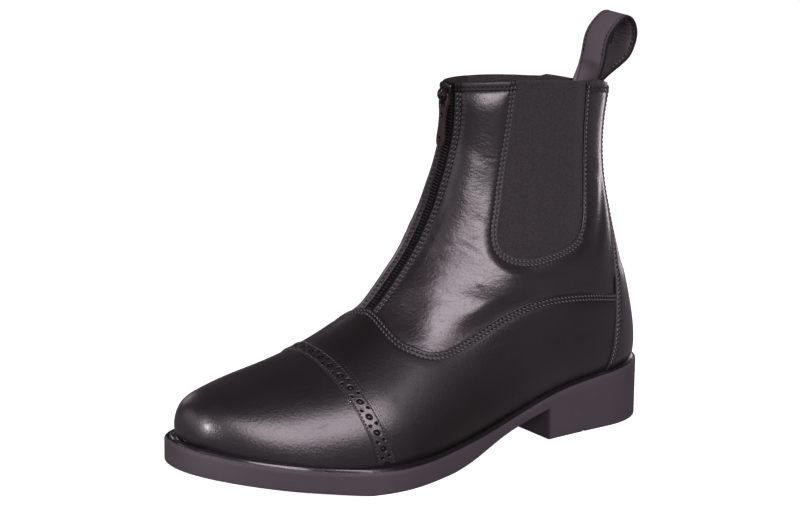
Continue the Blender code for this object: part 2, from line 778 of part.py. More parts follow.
def build_slider(material):
    """Slider plate over the teeth with the arched bridge that holds the pull tab."""
    plate = np.array(SLIDER_OUTLINE, float)
    low = TEETH_TOP + GAP
    top = low + SLIDER_THICK
    count = len(plate)
    rings = [
        on_slider(plate[:, 0], plate[:, 1], low),
        on_slider(plate[:, 0], plate[:, 1], top - SLIDER_BEVEL),
        on_slider(plate[:, 0] * SLIDER_TOP_SHARE[0], plate[:, 1] * SLIDER_TOP_SHARE[1], top),
    ]
    faces = grid_faces(3, count, wrap=True)
    faces += [tuple(range(count)), tuple(range(3 * count - 1, 2 * count - 1, -1))]
    slider = make_object("zip_slider", np.concatenate(rings), faces, material)
    turn = np.linspace(0, np.pi, 13)
    arch = np.sin(turn) ** BRIDGE_SQUARE
    inside = np.stack([np.cos(turn) * (BRIDGE_REACH - BRIDGE_THICK), arch * BRIDGE_RISE], -1)
    outside = np.stack([np.cos(turn) * BRIDGE_REACH, arch * (BRIDGE_RISE + BRIDGE_THICK)], -1)
    foot = np.array([0.0, -BRIDGE_FOOT])
    inside = np.concatenate([[inside[0] + foot], inside, [inside[-1] + foot]])
    outside = np.concatenate([[outside[0] + foot], outside, [outside[-1] + foot]])
    section = np.stack([
        on_slider(-BRIDGE_HALF, inside[:, 0], top + inside[:, 1]),
        on_slider(BRIDGE_HALF, inside[:, 0], top + inside[:, 1]),
        on_slider(BRIDGE_HALF, outside[:, 0], top + outside[:, 1]),
        on_slider(-BRIDGE_HALF, outside[:, 0], top + outside[:, 1]),
    ], 1)
    steps = len(section)
    faces = grid_faces(steps, 4, wrap=True) + [(0, 1, 2, 3), tuple(range(4 * steps - 1, 4 * steps - 5, -1))]
    bridge = make_object("bridge", section.reshape(-1, 3), faces)
    combine(slider, bridge, "UNION")
    slider.data.materials.clear()
    slider.data.materials.append(material)
    return slider


def hinge_lift():
    """Lift of the tab's hinge line: the middle of the room under the bridge."""
    return TEETH_TOP + GAP + SLIDER_THICK + BRIDGE_RISE / 2


def on_tab(across, down, lift):
    """Boot point from across, distance below the hinge and lift off the tab's middle, with the tab swung out."""
    swing = np.radians(TAB_SWING)
    climb_by = np.sin(swing) * lift - np.cos(swing) * down
    return on_slider(across, climb_by, hinge_lift() + np.sin(swing) * down + np.cos(swing) * lift)


def build_tab(material):
    """Flat pull tab with a square eye round the bridge and two round holes, hanging a little off the zip."""
    rows = np.array(TAB_OUTLINE)
    outline = np.concatenate([rows, rows[::-1] * (1, -1)])
    count = len(outline)
    faces = [tuple(range(count)), tuple(range(2 * count - 1, count - 1, -1))]
    faces += [(i, (i + 1) % count, (i + 1) % count + count, i + count) for i in range(count)]
    sides = [on_tab(outline[:, 1], outline[:, 0], half * TAB_THICK) for half in (-0.5, 0.5)]
    tab = make_object("zip_pull_tab", np.concatenate(sides), faces, material, smooth=False)
    eye = np.array([
        (TAB_EYE_TOP, -TAB_EYE_HALF), (TAB_EYE_TOP, TAB_EYE_HALF),
        (TAB_EYE_BOTTOM, TAB_EYE_HALF), (TAB_EYE_BOTTOM, -TAB_EYE_HALF),
    ])
    turn = np.linspace(0, 2 * np.pi, 17)[:-1]
    holes = [eye]
    for centre in TAB_HOLES:
        holes.append(np.stack([centre + TAB_HOLE_RADIUS * np.cos(turn), TAB_HOLE_RADIUS * np.sin(turn)], -1))
    for hole in holes:
        size = len(hole)
        ends = [on_tab(hole[:, 1], hole[:, 0], half * TAB_THICK) for half in (-1.5, 1.5)]
        faces = [tuple(range(size)), tuple(range(2 * size - 1, size - 1, -1))]
        faces += [(i, (i + 1) % size, (i + 1) % size + size, i + size) for i in range(size)]
        combine(tab, make_object("hole", np.concatenate(ends), faces, smooth=False), "DIFFERENCE")
    tab.data.materials.clear()
    tab.data.materials.append(material)
    return tab


def build_strap(material):
    """Leather pull loop: a flat strap folded over, both ends sewn inside the back of the collar."""
    path = np.array(STRAP_PATH)
    knots = np.arange(len(path))
    fine = np.linspace(0, len(path) - 1, STRAP_STATIONS)
    middle = np.stack([smooth_curve(knots, path[:, k])(fine) for k in (0, 1)], -1)
    heading = np.gradient(middle, axis=0)
    heading = heading / np.linalg.norm(heading, axis=1, keepdims=True)
    normal = np.stack([heading[:, 1], -heading[:, 0]], -1)
    across = np.linspace(-STRAP_HALF, STRAP_HALF, 5)
    low = np.clip((STRAP_FLAT_UP - middle[:, 1]) / STRAP_BOW_RUN, 0, 1)
    bow = -STRAP_BOW * low[:, None] * (1 - (across[None, :] / STRAP_HALF) ** 2)
    grids = []
    for half in (0.5, -0.5):
        line = middle + normal * half * STRAP_THICK
        along = line[:, 0, None] + bow
        up = np.broadcast_to(line[:, 1, None], along.shape)
        grids.append(np.stack([along, np.broadcast_to(across, along.shape), up], -1))
    return make_object("pull_loop", *slab_between(*grids), material)


def stand_on_origin(items, tab):
    """Move every piece so the boot stands centred on the origin, with the tab's own origin on its hinge."""
    corners = np.concatenate([np.array([vertex.co for vertex in item.data.vertices]) for item in items])
    low = corners.min(axis=0)
    high = corners.max(axis=0)
    shift = -np.array([(low[0] + high[0]) / 2, (low[1] + high[1]) / 2, low[2]])
    hinge = place(on_slider(0.0, 0.0, hinge_lift())) + shift
    for item in items:
        moved = np.array([vertex.co for vertex in item.data.vertices]) + shift
        if item is tab:
            moved = moved - hinge
            item.location = hinge
        item.data.vertices.foreach_set("co", moved.astype(np.float32).ravel())
        item.data.update()


for old in list(bpy.data.objects):
    bpy.data.objects.remove(old)

black_leather = make_material("black_leather", (0.018, 0.016, 0.017), 0.38)
strip_leather = make_material("strip_leather", (0.02, 0.018, 0.019), 0.42)
counter_leather = make_material("counter_leather", (0.019, 0.017, 0.018), 0.4)
strap_leather = make_material("strap_leather", (0.024, 0.022, 0.024), 0.5)
sole_rubber = make_material("sole_rubber", (0.045, 0.04, 0.043), 0.6)
footbed = make_material("footbed", (0.03, 0.028, 0.028), 0.8)
elastic = make_material("elastic", (0.03, 0.028, 0.03), 0.85)
zip_black = make_material("zip_black", (0.015, 0.014, 0.015), 0.5)
dark_metal = make_material("dark_metal", (0.05, 0.04, 0.04), 0.3)

pull_tab = build_tab(dark_metal)
pieces = [
    build_upper(black_leather),
    build_sole(sole_rubber),
    build_insole(footbed),
    build_gore("gore_outer", 1, elastic),
    build_gore("gore_inner", -1, elastic),
    build_strip(strip_leather),
    build_counter(counter_leather),
    build_zip(zip_black),
    build_slider(dark_metal),
    pull_tab,
    build_strap(strap_leather),
]
stand_on_origin(pieces, pull_tab)
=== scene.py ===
"""Zip-front jodhpur boot for the left foot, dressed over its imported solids.

Sizes are millimetres in the boot's own directions: along from the back of the heel to the toe, across to the
outer side, up from the floor. A lift is a distance off the last's surface, outwards where it is positive.
"""

import bmesh
import bpy
import numpy as np
from mathutils import Matrix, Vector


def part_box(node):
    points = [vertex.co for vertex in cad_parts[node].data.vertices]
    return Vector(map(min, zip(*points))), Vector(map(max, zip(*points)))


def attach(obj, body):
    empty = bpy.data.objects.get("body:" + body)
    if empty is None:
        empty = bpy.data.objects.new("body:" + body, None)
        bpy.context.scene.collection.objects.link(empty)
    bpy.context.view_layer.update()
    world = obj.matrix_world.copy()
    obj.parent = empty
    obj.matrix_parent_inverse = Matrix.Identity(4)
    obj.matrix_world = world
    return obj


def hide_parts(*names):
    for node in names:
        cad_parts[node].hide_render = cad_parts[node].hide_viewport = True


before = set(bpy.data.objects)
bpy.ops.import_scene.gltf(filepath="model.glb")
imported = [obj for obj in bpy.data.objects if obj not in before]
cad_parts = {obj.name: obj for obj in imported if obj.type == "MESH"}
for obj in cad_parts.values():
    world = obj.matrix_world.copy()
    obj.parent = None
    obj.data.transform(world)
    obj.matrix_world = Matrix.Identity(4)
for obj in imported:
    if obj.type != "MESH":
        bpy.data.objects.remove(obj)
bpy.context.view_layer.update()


# Lining: thin dark leather glued inside quarters and vamp, cut to their outlines, open at zip and gores.
# Every layer of the upper is pulled over one last, whose sections give the surface the pieces are laid on.
SOLE_LENGTH = 288.0
WELT_RISE = 2.2
TOE_TIP = 281.5
TIP_ROUND = 62.0
TIP_POWER = 2.1
COLLAR_ROW = 19.0
TILT_START = 14.0
COLLAR_TILT = 2.9
COLLAR_CROWN = 2.3
ZIP_EDGE = 4.3
THROAT_ROW = 7.2
HEEL_ROW = 11.51
BACK_SEAM_ROW = 13.18
JOIN_ROW = 7.42
LINING_LIFTS = (-1.75, -2.65)
LINING_LEGS = (60, 60, 44)
LINING_MIDDLE = 20
LINING_VAMP = (50, 24, 14, 40)
LINING_LEVEL = -1.0
HALVINGS = 40
FIRST_SPOT_ROW = 0.2
PAST_COLLAR = 0.4
BLOCK = 2000000

# Top edge of the sole, where the last stands: along, up
SOLE_TOP = ((0, 32.5), (35, 29.3), (70, 24.5), (110, 14.6), (150, 10.8), (185, 10.8), (215, 12.8),
            (250, 19.3), (288, 26.8))

# Sections of the last, toe to collar: ridge along and up, keel along and up, half width, squareness,
# ridge across, keel across
LAST_SECTIONS = (
    (281.5, 27.6, 281.5, 27.6, 31.8, 2.3, -6.4, -6.9),
    (281.1, 38.1, 274.1, 19.0, 29.7, 2.3, -6.8, -5.1),
    (275.3, 47.6, 262.6, 1.1, 32.1, 2.3, -6.9, -2.8),
    (260.9, 51.6, 240.4, -13.2, 37.2, 2.3, -6.7, 0.1),
    (242.6, 55.4, 216.6, -18.9, 42.0, 2.2, -5.9, 3.2),
    (220.2, 59.0, 190.6, -16.4, 46.6, 2.2, -4.5, 5.9),
    (197.2, 65.7, 160.5, -7.0, 48.0, 2.1, -2.9, 7.1),
    (178.1, 75.1, 124.3, 4.5, 45.6, 2.1, -1.5, 6.1),
    (165.4, 85.5, 84.3, 13.6, 42.4, 2.1, -0.5, 3.4),
    (154.4, 98.0, 46.5, 18.7, 40.7, 2.1, 0.1, 0.9),
    (144.7, 110.1, 17.4, 19.5, 41.0, 2.1, 0.4, -0.4),
    (136.4, 123.9, 3.4, 26.9, 40.7, 2.1, 0.5, -0.6),
    (132.0, 133.6, 1.3, 43.5, 38.3, 2.1, 0.5, -0.3),
    (129.4, 142.1, 4.5, 63.7, 34.9, 2.1, 0.5, 0.0),
    (127.0, 150.3, 9.7, 85.3, 31.2, 2.1, 0.5, 0.1),
    (124.8, 160.0, 15.4, 106.6, 28.0, 2.1, 0.5, 0.1),
    (123.5, 170.0, 20.1, 126.9, 25.7, 2.1, 0.5, 0.0),
    (123.1, 180.2, 22.5, 146.4, 24.6, 2.1, 0.5, 0.0),
    (123.3, 190.0, 21.9, 165.2, 24.8, 2.1, 0.5, 0.0),
    (123.5, 196.3, 18.9, 183.6, 26.3, 2.1, 0.5, 0.0),
)

# Edge of the leather round the gore, front of the collar to its back: along, up
GORE_EDGE = ((95.1, 192.0), (96.2, 178.2), (99.2, 161.0), (103.8, 143.3), (108.4, 127.6), (110.7, 118.6),
             (110.2, 112.2), (107.1, 108.7), (101.7, 106.0), (92.8, 104.4), (81.4, 104.9), (68.6, 106.5),
             (58.2, 109.9), (52.7, 115.9), (49.1, 129.9), (47.1, 150.0), (46.9, 170.3), (48.1, 185.9))
GORE_FRONT_CORNER = 5
GORE_BACK_CORNER = 13

# Upper edge of the vamp, throat to heel: along, up
VAMP_EDGE = ((170.9, 78.9), (171.2, 73.5), (168.6, 69.2), (163.7, 66.5), (156.2, 64.7), (147.9, 65.6),
             (138.9, 68.3), (128.4, 72.0), (115.4, 76.7), (102.9, 80.4), (90.5, 82.7), (77.4, 83.0),
             (55.1, 80.2), (34.9, 75.4), (10.0, 69.0))
RIDGE_SEAM_ROW = 7.6

# Middle of the zip beside the last's ridge, throat to collar: row, across
ZIP_MIDDLE = ((7, -3.2), (9, -3.2), (11, -3.7), (13, -2.8), (15, -1.6), (17, -0.2), (18, 0), (20, 0))


def smooth_curve(knots, values):
    """Natural cubic through the values at the knots: between two knots a cubic whose bend runs straight."""
    knots = np.asarray(knots, float)
    values = np.asarray(values, float)
    step = np.diff(knots)
    slope = np.diff(values) / step
    matrix = np.eye(len(knots))
    inner = np.arange(1, len(knots) - 1)
    matrix[inner, inner - 1] = step[:-1]
    matrix[inner, inner] = 2 * (step[:-1] + step[1:])
    matrix[inner, inner + 1] = step[1:]
    bend = np.linalg.solve(matrix, np.concatenate([[0], 6 * np.diff(slope), [0]]))

    def at(x):
        x = np.asarray(x, float)
        i = np.clip(np.searchsorted(knots, x) - 1, 0, len(step) - 1)
        before = x - knots[i]
        after = knots[i + 1] - x
        curve = (bend[i] * after ** 3 + bend[i + 1] * before ** 3) / (6 * step[i])
        line = (values[i] / step[i] - bend[i] * step[i] / 6) * after
        return curve + line + (values[i + 1] / step[i] - bend[i + 1] * step[i] / 6) * before
    return at


def smooth_step(value, start, end):
    """0 before start, 1 after end, and 3 t squared less 2 t cubed between them."""
    t = np.clip((value - start) / (end - start), 0, 1)
    return t * t * (3 - 2 * t)


def run_length(points):
    """Distance along a line of points from its first one."""
    steps = np.linalg.norm(np.diff(points, axis=0), axis=1)
    return np.concatenate([[0.0], np.cumsum(steps)])


def smooth_line(points, spots):
    """Natural cubic through points, knotted by the distance along them, read at spots counted in points."""
    points = np.asarray(points, float)
    knots = run_length(points)
    where = np.interp(spots, np.arange(len(points)), knots)
    return np.stack([smooth_curve(knots, column)(where) for column in points.T], -1)


side_top = smooth_curve(*np.array(SOLE_TOP, float).T)
zip_middle = smooth_curve(*np.array(ZIP_MIDDLE, float).T)
section_curves = [smooth_curve(np.arange(len(LAST_SECTIONS)), column) for column in np.array(LAST_SECTIONS).T]


def rounded_end(share, power):
    """Half width of a rounded end, from 0 at its tip to 1 where the end runs into the sides."""
    share = np.clip(share, 0.0, 1.0)
    return (1 - (1 - share) ** power) ** (1 / power)


def last_point(row, angle):
    """Last's surface: a section runs from ridge to keel as the angle goes from 0 to 180 degrees.

    Along and up go straight from ridge to keel by the share (1 - cos angle) / 2, and across bulges from that
    line by the half width times the sine to the power 2 / squareness. Near the collar the sides rise.
    """
    ridge_along, ridge_up, keel_along, keel_up, half, square, ridge_across, keel_across = [
        curve(row) for curve in section_curves]
    share = (1 - np.cos(angle)) / 2
    half = half * rounded_end((TOE_TIP - keel_along) / TIP_ROUND, TIP_POWER)
    swing = np.sin(angle)
    across = ridge_across + (keel_across - ridge_across) * share
    across = across + half * np.sign(swing) * np.abs(swing) ** (2 / square)
    along = ridge_along + (keel_along - ridge_along) * share
    rise = np.clip((row - TILT_START) / (COLLAR_ROW - TILT_START), 0, 1) ** 2
    up = ridge_up + (keel_up - ridge_up) * share + rise * (COLLAR_TILT * swing + COLLAR_CROWN * swing ** 2)
    return np.stack(np.broadcast_arrays(along, across, up), -1)


def last_tangents(row, angle):
    """Change of the surface for one row and for one radian, from the points 0.02 to either side."""
    step = 0.02
    row = np.maximum(row, 2 * step)
    down_rows = (last_point(row + step, angle) - last_point(row - step, angle)) / (2 * step)
    round_ribs = (last_point(row, angle + step) - last_point(row, angle - step)) / (2 * step)
    return down_rows, round_ribs


def last_normal(row, angle):
    """Outward direction of the last: the cross product of its two tangents."""
    down_rows, round_ribs = last_tangents(row, angle)
    normal = np.cross(round_ribs, down_rows)
    return normal / np.linalg.norm(normal, axis=-1, keepdims=True)


def on_last(row, angle, lift):
    """Last's surface moved out by lift along its own normal."""
    row, angle, lift = np.broadcast_arrays(*[np.asarray(item, float) for item in (row, angle, lift)])
    return last_point(row, angle) + last_normal(row, angle) * lift[..., None]


def end_angle(row, level):
    """Angle at which a section comes down to the sole's top plus welt rise and level, found by halving."""
    row = np.asarray(row, float)
    low = np.zeros_like(row)
    high = np.ones_like(row)
    for _ in range(HALVINGS):
        middle = (low + high) / 2
        point = last_point(row, np.arccos(1 - 2 * middle))
        above = point[..., 2] > side_top(np.clip(point[..., 0], 0, SOLE_LENGTH)) + WELT_RISE + level
        low = np.where(above, middle, low)
        high = np.where(above, high, middle)
    return np.arccos(1 - 2 * np.where(high > 0.99999, 1.0, high))


def last_spot(along, up):
    """Row and angle of the point seen from the side at along and up: its section line, by halving."""
    along, up = np.broadcast_arrays(np.asarray(along, float), np.asarray(up, float))
    low = np.full(along.shape, FIRST_SPOT_ROW)
    high = np.full(along.shape, COLLAR_ROW + PAST_COLLAR)
    for _ in range(HALVINGS):
        middle = (low + high) / 2
        ridge_along, ridge_up, keel_along, keel_up = [curve(middle) for curve in section_curves[:4]]
        turn = (keel_along - ridge_along) * (up - ridge_up) - (keel_up - ridge_up) * (along - ridge_along)
        low = np.where(turn < 0, middle, low)
        high = np.where(turn < 0, high, middle)
    ridge_along, ridge_up, keel_along, keel_up = [curve(low) for curve in section_curves[:4]]
    reach = (along - ridge_along) * (keel_along - ridge_along) + (up - ridge_up) * (keel_up - ridge_up)
    share = np.clip(reach / ((keel_along - ridge_along) ** 2 + (keel_up - ridge_up) ** 2), 0.0, 1.0)
    return low, np.arccos(1 - 2 * share)


def beside(line, distance):
    """Line of rows and angles moved sideways over the surface, the step solved in the two tangents."""
    row, angle = line
    ahead = np.gradient(last_point(row, angle), axis=0)
    side = np.cross(last_normal(row, angle), ahead)
    side = side / np.linalg.norm(side, axis=-1, keepdims=True) * distance
    down_rows, round_ribs = last_tangents(row, angle)
    a = np.sum(down_rows * down_rows, -1)
    b = np.sum(down_rows * round_ribs, -1)
    c = np.sum(round_ribs * round_ribs, -1)
    p = np.sum(down_rows * side, -1)
    q = np.sum(round_ribs * side, -1)
    scale = a * c - b * b
    return row + (c * p - b * q) / scale, angle + (a * q - b * p) / scale


def nearest(points, line):
    """Distance from every point to a line of points, measured to its straight pieces in blocks of points."""
    start = line[:-1]
    piece = line[1:] - start
    size = np.maximum(np.sum(piece * piece, -1), 1e-12)
    found = []
    for block in np.array_split(points, max(1, len(points) * len(start) // BLOCK)):
        reach = block[:, None, :] - start[None]
        share = np.clip(np.sum(reach * piece[None], -1) / size[None], 0, 1)
        found.append(np.min(np.sum((reach - share[..., None] * piece[None]) ** 2, -1), axis=1))
    return np.sqrt(np.concatenate(found))


def zip_angle(row, across):
    """Angle at which the front of a section is across millimetres wide of its ridge."""
    reach = np.abs(across) / section_curves[4](row)
    return np.arcsin(np.clip(reach, 0, 1) ** (section_curves[5](row) / 2))


def grid_quads(rows, columns, wrap=False):
    """Faces of a grid of points stored row by row, closed sideways where it wraps."""
    index = np.arange(rows * columns).reshape(rows, columns)
    if wrap:
        index = np.concatenate([index, index[:, :1]], axis=1)
    quads = np.stack([index[:-1, :-1], index[:-1, 1:], index[1:, 1:], index[1:, :-1]], -1)
    return quads.reshape(-1, 4)


# One radian counts as this many rows where a line over the last is smoothed
ANGLE_WEIGHT = 6


def gore_edge_line(first, last, count):
    """Rows and angles of the leather's edge round the gore between two stations of its table."""
    row, angle = last_spot(*np.array(GORE_EDGE).T)
    row[[0, -1]] = COLLAR_ROW
    spots = smooth_line(np.stack([row, angle * ANGLE_WEIGHT], -1), np.linspace(first, last, count))
    return spots[:, 0], spots[:, 1] / ANGLE_WEIGHT


def vamp_edge_line(count):
    """Rows and angles of the vamp's upper edge from the ridge to the back, evenly spaced over the leather."""
    row, angle = last_spot(*np.array(VAMP_EDGE).T)
    row = np.concatenate([[RIDGE_SEAM_ROW], row, [BACK_SEAM_ROW]])
    angle = np.concatenate([[0.0], angle, [np.pi]])
    spots = smooth_line(np.stack([row, angle * ANGLE_WEIGHT], -1), np.linspace(0, len(row) - 1, 1200))
    angle = spots[:, 1] / ANGLE_WEIGHT
    run = run_length(last_point(spots[:, 0], angle))
    even = np.linspace(0, run[-1], count)
    return np.interp(even, run, spots[:, 0]), np.interp(even, run, np.clip(angle, 0, np.pi))


# Distances from an edge of the lines that carry its rounding and its sewn rows
EDGE_LINES = np.array([0, 0.12, 0.3, 0.55, 0.9, 1.3, 1.7, 2.0, 2.4, 2.9, 3.5, 4.1, 4.5, 4.9, 5.6, 6.6, 8.0])

# Lap of a quarter under the vamp's edge: rows at throat and back, radians at the wing, where each sets in
LAP_ROWS = 0.3
LAP_ANGLE = 0.15
LAP_WING = (0.7, 1.2)
LAP_BACK = (2.4, np.pi)
LEAST_ROOM = 12.0
MOST_EDGE_SHARE = 0.6

# Lengths over which the vamp's edge lines are shared out: down a wing, and from the toe to the throat
WING_REACH = 110.0
TOE_REACH = 215.0
TOE_SHARE = 0.965
TOE_CROWD = 0.85
WING_CROWD = 0.9
WING_LEAST_ANGLE = 0.8


def quarter_sheet(legs, middle, side):
    """Rows, angles and faces of a quarter: a band round the gore, out to zip, vamp and back seam.

    One parameter follows the gore's edge in three legs, facing zip, vamp and back. The other leaves that edge
    by the distances of EDGE_LINES, runs straight to the outer edge, and meets it by the same distances.
    """
    corners = (0, GORE_FRONT_CORNER, GORE_BACK_CORNER, len(GORE_EDGE) - 1)
    parts = [gore_edge_line(a, b, n) for a, b, n in zip(corners, corners[1:], legs)]
    gore = [np.concatenate([parts[0][k], parts[1][k][1:], parts[2][k][1:]]) for k in (0, 1)]
    zip_row = np.linspace(COLLAR_ROW, THROAT_ROW, legs[0])
    zip_leg = zip_row, zip_angle(zip_row, ZIP_EDGE + side * zip_middle(zip_row))
    row, angle = vamp_edge_line(900)
    wing = smooth_step(angle, *LAP_WING)
    row = row - LAP_ROWS * (1 - wing) - LAP_ROWS * smooth_step(angle, *LAP_BACK)
    angle = np.minimum(angle + LAP_ANGLE * wing, np.pi)
    begins = np.argmax(angle > zip_leg[1][-1])
    even = np.linspace(begins, len(row) - 1, legs[1])
    vamp_leg = np.interp(even, np.arange(len(row)), row), np.interp(even, np.arange(len(row)), angle)
    vamp_leg[0][0], vamp_leg[1][0] = zip_leg[0][-1], zip_leg[1][-1]
    back_leg = np.linspace(vamp_leg[0][-1], COLLAR_ROW, legs[2]), np.full(legs[2], np.pi)
    outer = [np.concatenate([zip_leg[k], vamp_leg[k][1:], back_leg[k][1:]]) for k in (0, 1)]
    inner = [np.stack(line, 0) for line in zip(*[beside(gore, -d) for d in EDGE_LINES])]
    inner[0][:, [0, -1]] = COLLAR_ROW
    room = np.linalg.norm(last_point(inner[0][-1], inner[1][-1]) - last_point(*outer), axis=-1)
    from_edge = EDGE_LINES[None, ::-1] / np.maximum(room, LEAST_ROOM)[:, None]
    from_edge = 1 - np.clip(from_edge, 0, MOST_EDGE_SHARE)
    spread = np.linspace(0, 1, middle + 2)[None, 1:-1] * from_edge[:, :1]
    share = np.concatenate([spread, from_edge], axis=1).T
    row = np.concatenate([inner[0], inner[0][-1] + (outer[0] - inner[0][-1]) * share])
    angle = np.concatenate([inner[1], inner[1][-1] + (outer[1] - inner[1][-1]) * share])
    return row.ravel(), angle.ravel(), grid_quads(*row.shape)


def vamp_sheet(toe_rows, throat, wing_columns, wing_rows, level):
    """Rows, angles and faces of the vamp: a toe part from welt to welt, a wing along each side to the back.

    The toe part's rows run from the tip to the throat's edge. A wing's rows go on from there to the back
    seam, each from the vamp's edge down to the feather line.
    """
    edge_row, edge_angle = vamp_edge_line(1200)
    rising = np.argmin(np.where(edge_angle < WING_LEAST_ANGLE, np.inf, np.abs(edge_row - JOIN_ROW)))
    split = edge_angle[rising]
    throat_share = split / end_angle(np.array([JOIN_ROW]), level)[0]
    near = EDGE_LINES / WING_REACH
    wing_share = np.concatenate([near[:-1], np.linspace(near[-1], 1, wing_columns)])
    side = throat_share + (1 - throat_share) * wing_share
    middle = np.linspace(-throat_share, throat_share, throat)[1:-1]
    share = np.concatenate([-side[::-1], middle, side])
    climb = np.concatenate([np.linspace(0, TOE_SHARE, toe_rows) ** TOE_CROWD,
                            1 - EDGE_LINES[::-1][1:] / TOE_REACH])
    throat_angle = np.abs(share) / throat_share * split
    throat_row = np.interp(throat_angle, edge_angle[:rising + 1], edge_row[:rising + 1])
    top_row = np.where(np.abs(share) < throat_share, throat_row, JOIN_ROW)
    toe_row = climb[:, None] * top_row[None, :]
    toe_angle = share[None, :] * end_angle(toe_row, level)
    wing_row = JOIN_ROW + (BACK_SEAM_ROW - JOIN_ROW) * np.linspace(0, 1, wing_rows) ** WING_CROWD
    start = np.interp(wing_row, edge_row[rising:], edge_angle[rising:])
    start[0] = split
    end = np.where(wing_row > HEEL_ROW, np.pi, end_angle(wing_row, level))
    wing_angle = start[:, None] + (end - start)[:, None] * wing_share[None, :]
    wing_grid = np.broadcast_to(wing_row[:, None], wing_angle.shape)
    quads = grid_quads(*wing_angle.shape)
    count = toe_row.size
    size = wing_angle.size
    row = np.concatenate([toe_row.ravel(), wing_grid.ravel(), wing_grid.ravel()])
    angle = np.concatenate([toe_angle.ravel(), wing_angle.ravel(), -wing_angle.ravel()])
    faces = np.concatenate([grid_quads(*toe_row.shape), quads + count, quads[:, ::-1] + count + size])
    key = np.round(np.stack([row, angle], -1), 6)
    unique, first, back = np.unique(key, axis=0, return_index=True, return_inverse=True)
    return row[first], angle[first], back.ravel()[faces]


def laid_body(row, angle, quads, lift_out, lift_in):
    """Closed body of a sheet on the last: outer face, inner face, and a wall along every free edge."""
    outer = on_last(row, angle, lift_out)
    inner = on_last(row, angle, lift_in)
    count = len(outer)
    edges = np.concatenate([quads[:, [k, (k + 1) % 4]] for k in range(4)])
    edges = edges[edges[:, 0] != edges[:, 1]]
    key = np.sort(edges, axis=1)
    first, uses = np.unique(key[:, 0] * count + key[:, 1], return_index=True, return_counts=True)[1:]
    rim = edges[first[uses == 1]]
    rim = rim[np.min(np.abs(angle)[rim], axis=1) < np.pi - 1e-6]
    walls = np.stack([rim[:, 1], rim[:, 0], rim[:, 0] + count, rim[:, 1] + count], 1)
    return np.concatenate([outer, inner]), np.concatenate([quads, quads[:, ::-1] + count, walls])


strap_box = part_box("pull_loop")
sole_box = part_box("outsole")
STRAP_MIDDLE = (strap_box[0][0] + strap_box[1][0]) / 2
HEEL_BACK = sole_box[1][1]


def place(points):
    """Boot millimetres to the frame's metres, counted from the strap's middle and the heel's back."""
    points = np.asarray(points, float)
    return np.stack([STRAP_MIDDLE + points[..., 1] / 1000, HEEL_BACK - points[..., 0] / 1000,
                     points[..., 2] / 1000], -1)


def add_piece(name, points, faces, material, slot, nodes=(), body="boot", sharp=55, **marks):
    """Mesh from points in millimetres: doubles joined, faces turned outwards, marks kept as attributes."""
    mesh = bpy.data.meshes.new(name)
    mesh.from_pydata(place(points).tolist(), [], [list(face) for face in faces])
    for label, values in marks.items():
        mesh.attributes.new(label, "FLOAT", "POINT").data.foreach_set("value", np.asarray(values, np.float32))
    shape = bmesh.new()
    shape.from_mesh(mesh)
    bmesh.ops.remove_doubles(shape, verts=shape.verts, dist=2e-6)
    bmesh.ops.dissolve_degenerate(shape, edges=shape.edges, dist=1e-6)
    bmesh.ops.recalc_face_normals(shape, faces=shape.faces)
    shape.to_mesh(mesh)
    shape.free()
    mesh.polygons.foreach_set("use_smooth", np.ones(len(mesh.polygons), bool))
    mesh.set_sharp_from_angle(angle=np.radians(sharp))
    mesh.materials.append(material)
    item = bpy.data.objects.new(name, mesh)
    bpy.context.scene.collection.objects.link(item)
    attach(item, body)
    if nodes:
        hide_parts(*nodes)
    return item


class Shade:
    """A shader socket that takes part in sums as a number does: each operator adds a Math node."""

    def __init__(self, tree, socket):
        self.tree = tree
        self.socket = socket

    def node(self, kind, inputs, output=0, **settings):
        """Any other node: its settings first, then values or links by socket; gives one output."""
        made = self.tree.nodes.new(kind)
        for name, value in settings.items():
            setattr(made, name, value)
        for name, value in inputs.items():
            if isinstance(value, Shade):
                self.tree.links.new(value.socket, made.inputs[name])
            else:
                made.inputs[name].default_value = value
        return Shade(self.tree, made.outputs[output])

    def maths(self, operation, first, second):
        """Math node of two values or links."""
        return self.node("ShaderNodeMath", {0: first, 1: second}, operation=operation)

    def __add__(self, other):
        return self.maths("ADD", self, other)

    def __sub__(self, other):
        return self.maths("SUBTRACT", self, other)

    def __rsub__(self, other):
        return self.maths("SUBTRACT", other, self)

    def __mul__(self, other):
        return self.maths("MULTIPLY", self, other)

    __radd__ = __add__
    __rmul__ = __mul__

    def sine(self):
        """Sine of this value in radians."""
        return self.node("ShaderNodeMath", {0: self}, operation="SINE")

    def step(self, start, end):
        """0 at start, 1 at end, eased between them."""
        return self.node("ShaderNodeMapRange", {"Value": self, "From Min": start, "From Max": end},
                         interpolation_type="SMOOTHSTEP")

    def mix(self, first, second):
        """Colour that goes from first to second as this value goes from 0 to 1."""
        return self.node("ShaderNodeMix", {0: self, 6: first, 7: second}, output=2, data_type="RGBA")

    def noise(self, size, detail=3.0, stretch=(1, 1, 1)):
        """Noise whose blots are size millimetres, pulled out along an axis where stretch is over 1."""
        scaled = self.node("ShaderNodeVectorMath", {0: self, 1: tuple(1000 / size / s for s in stretch)},
                           operation="MULTIPLY")
        return self.node("ShaderNodeTexNoise", {"Vector": scaled, "Scale": 1.0, "Detail": detail})

    def cells(self, size):
        """Voronoi cells of size millimetres, as the distance to their middle."""
        return self.node("ShaderNodeTexVoronoi", {"Vector": self, "Scale": 1000 / size}, feature="F1")

    def mark(self, label):
        """The piece's own attribute."""
        return self.node("ShaderNodeAttribute", {}, output="Fac", attribute_name=label)


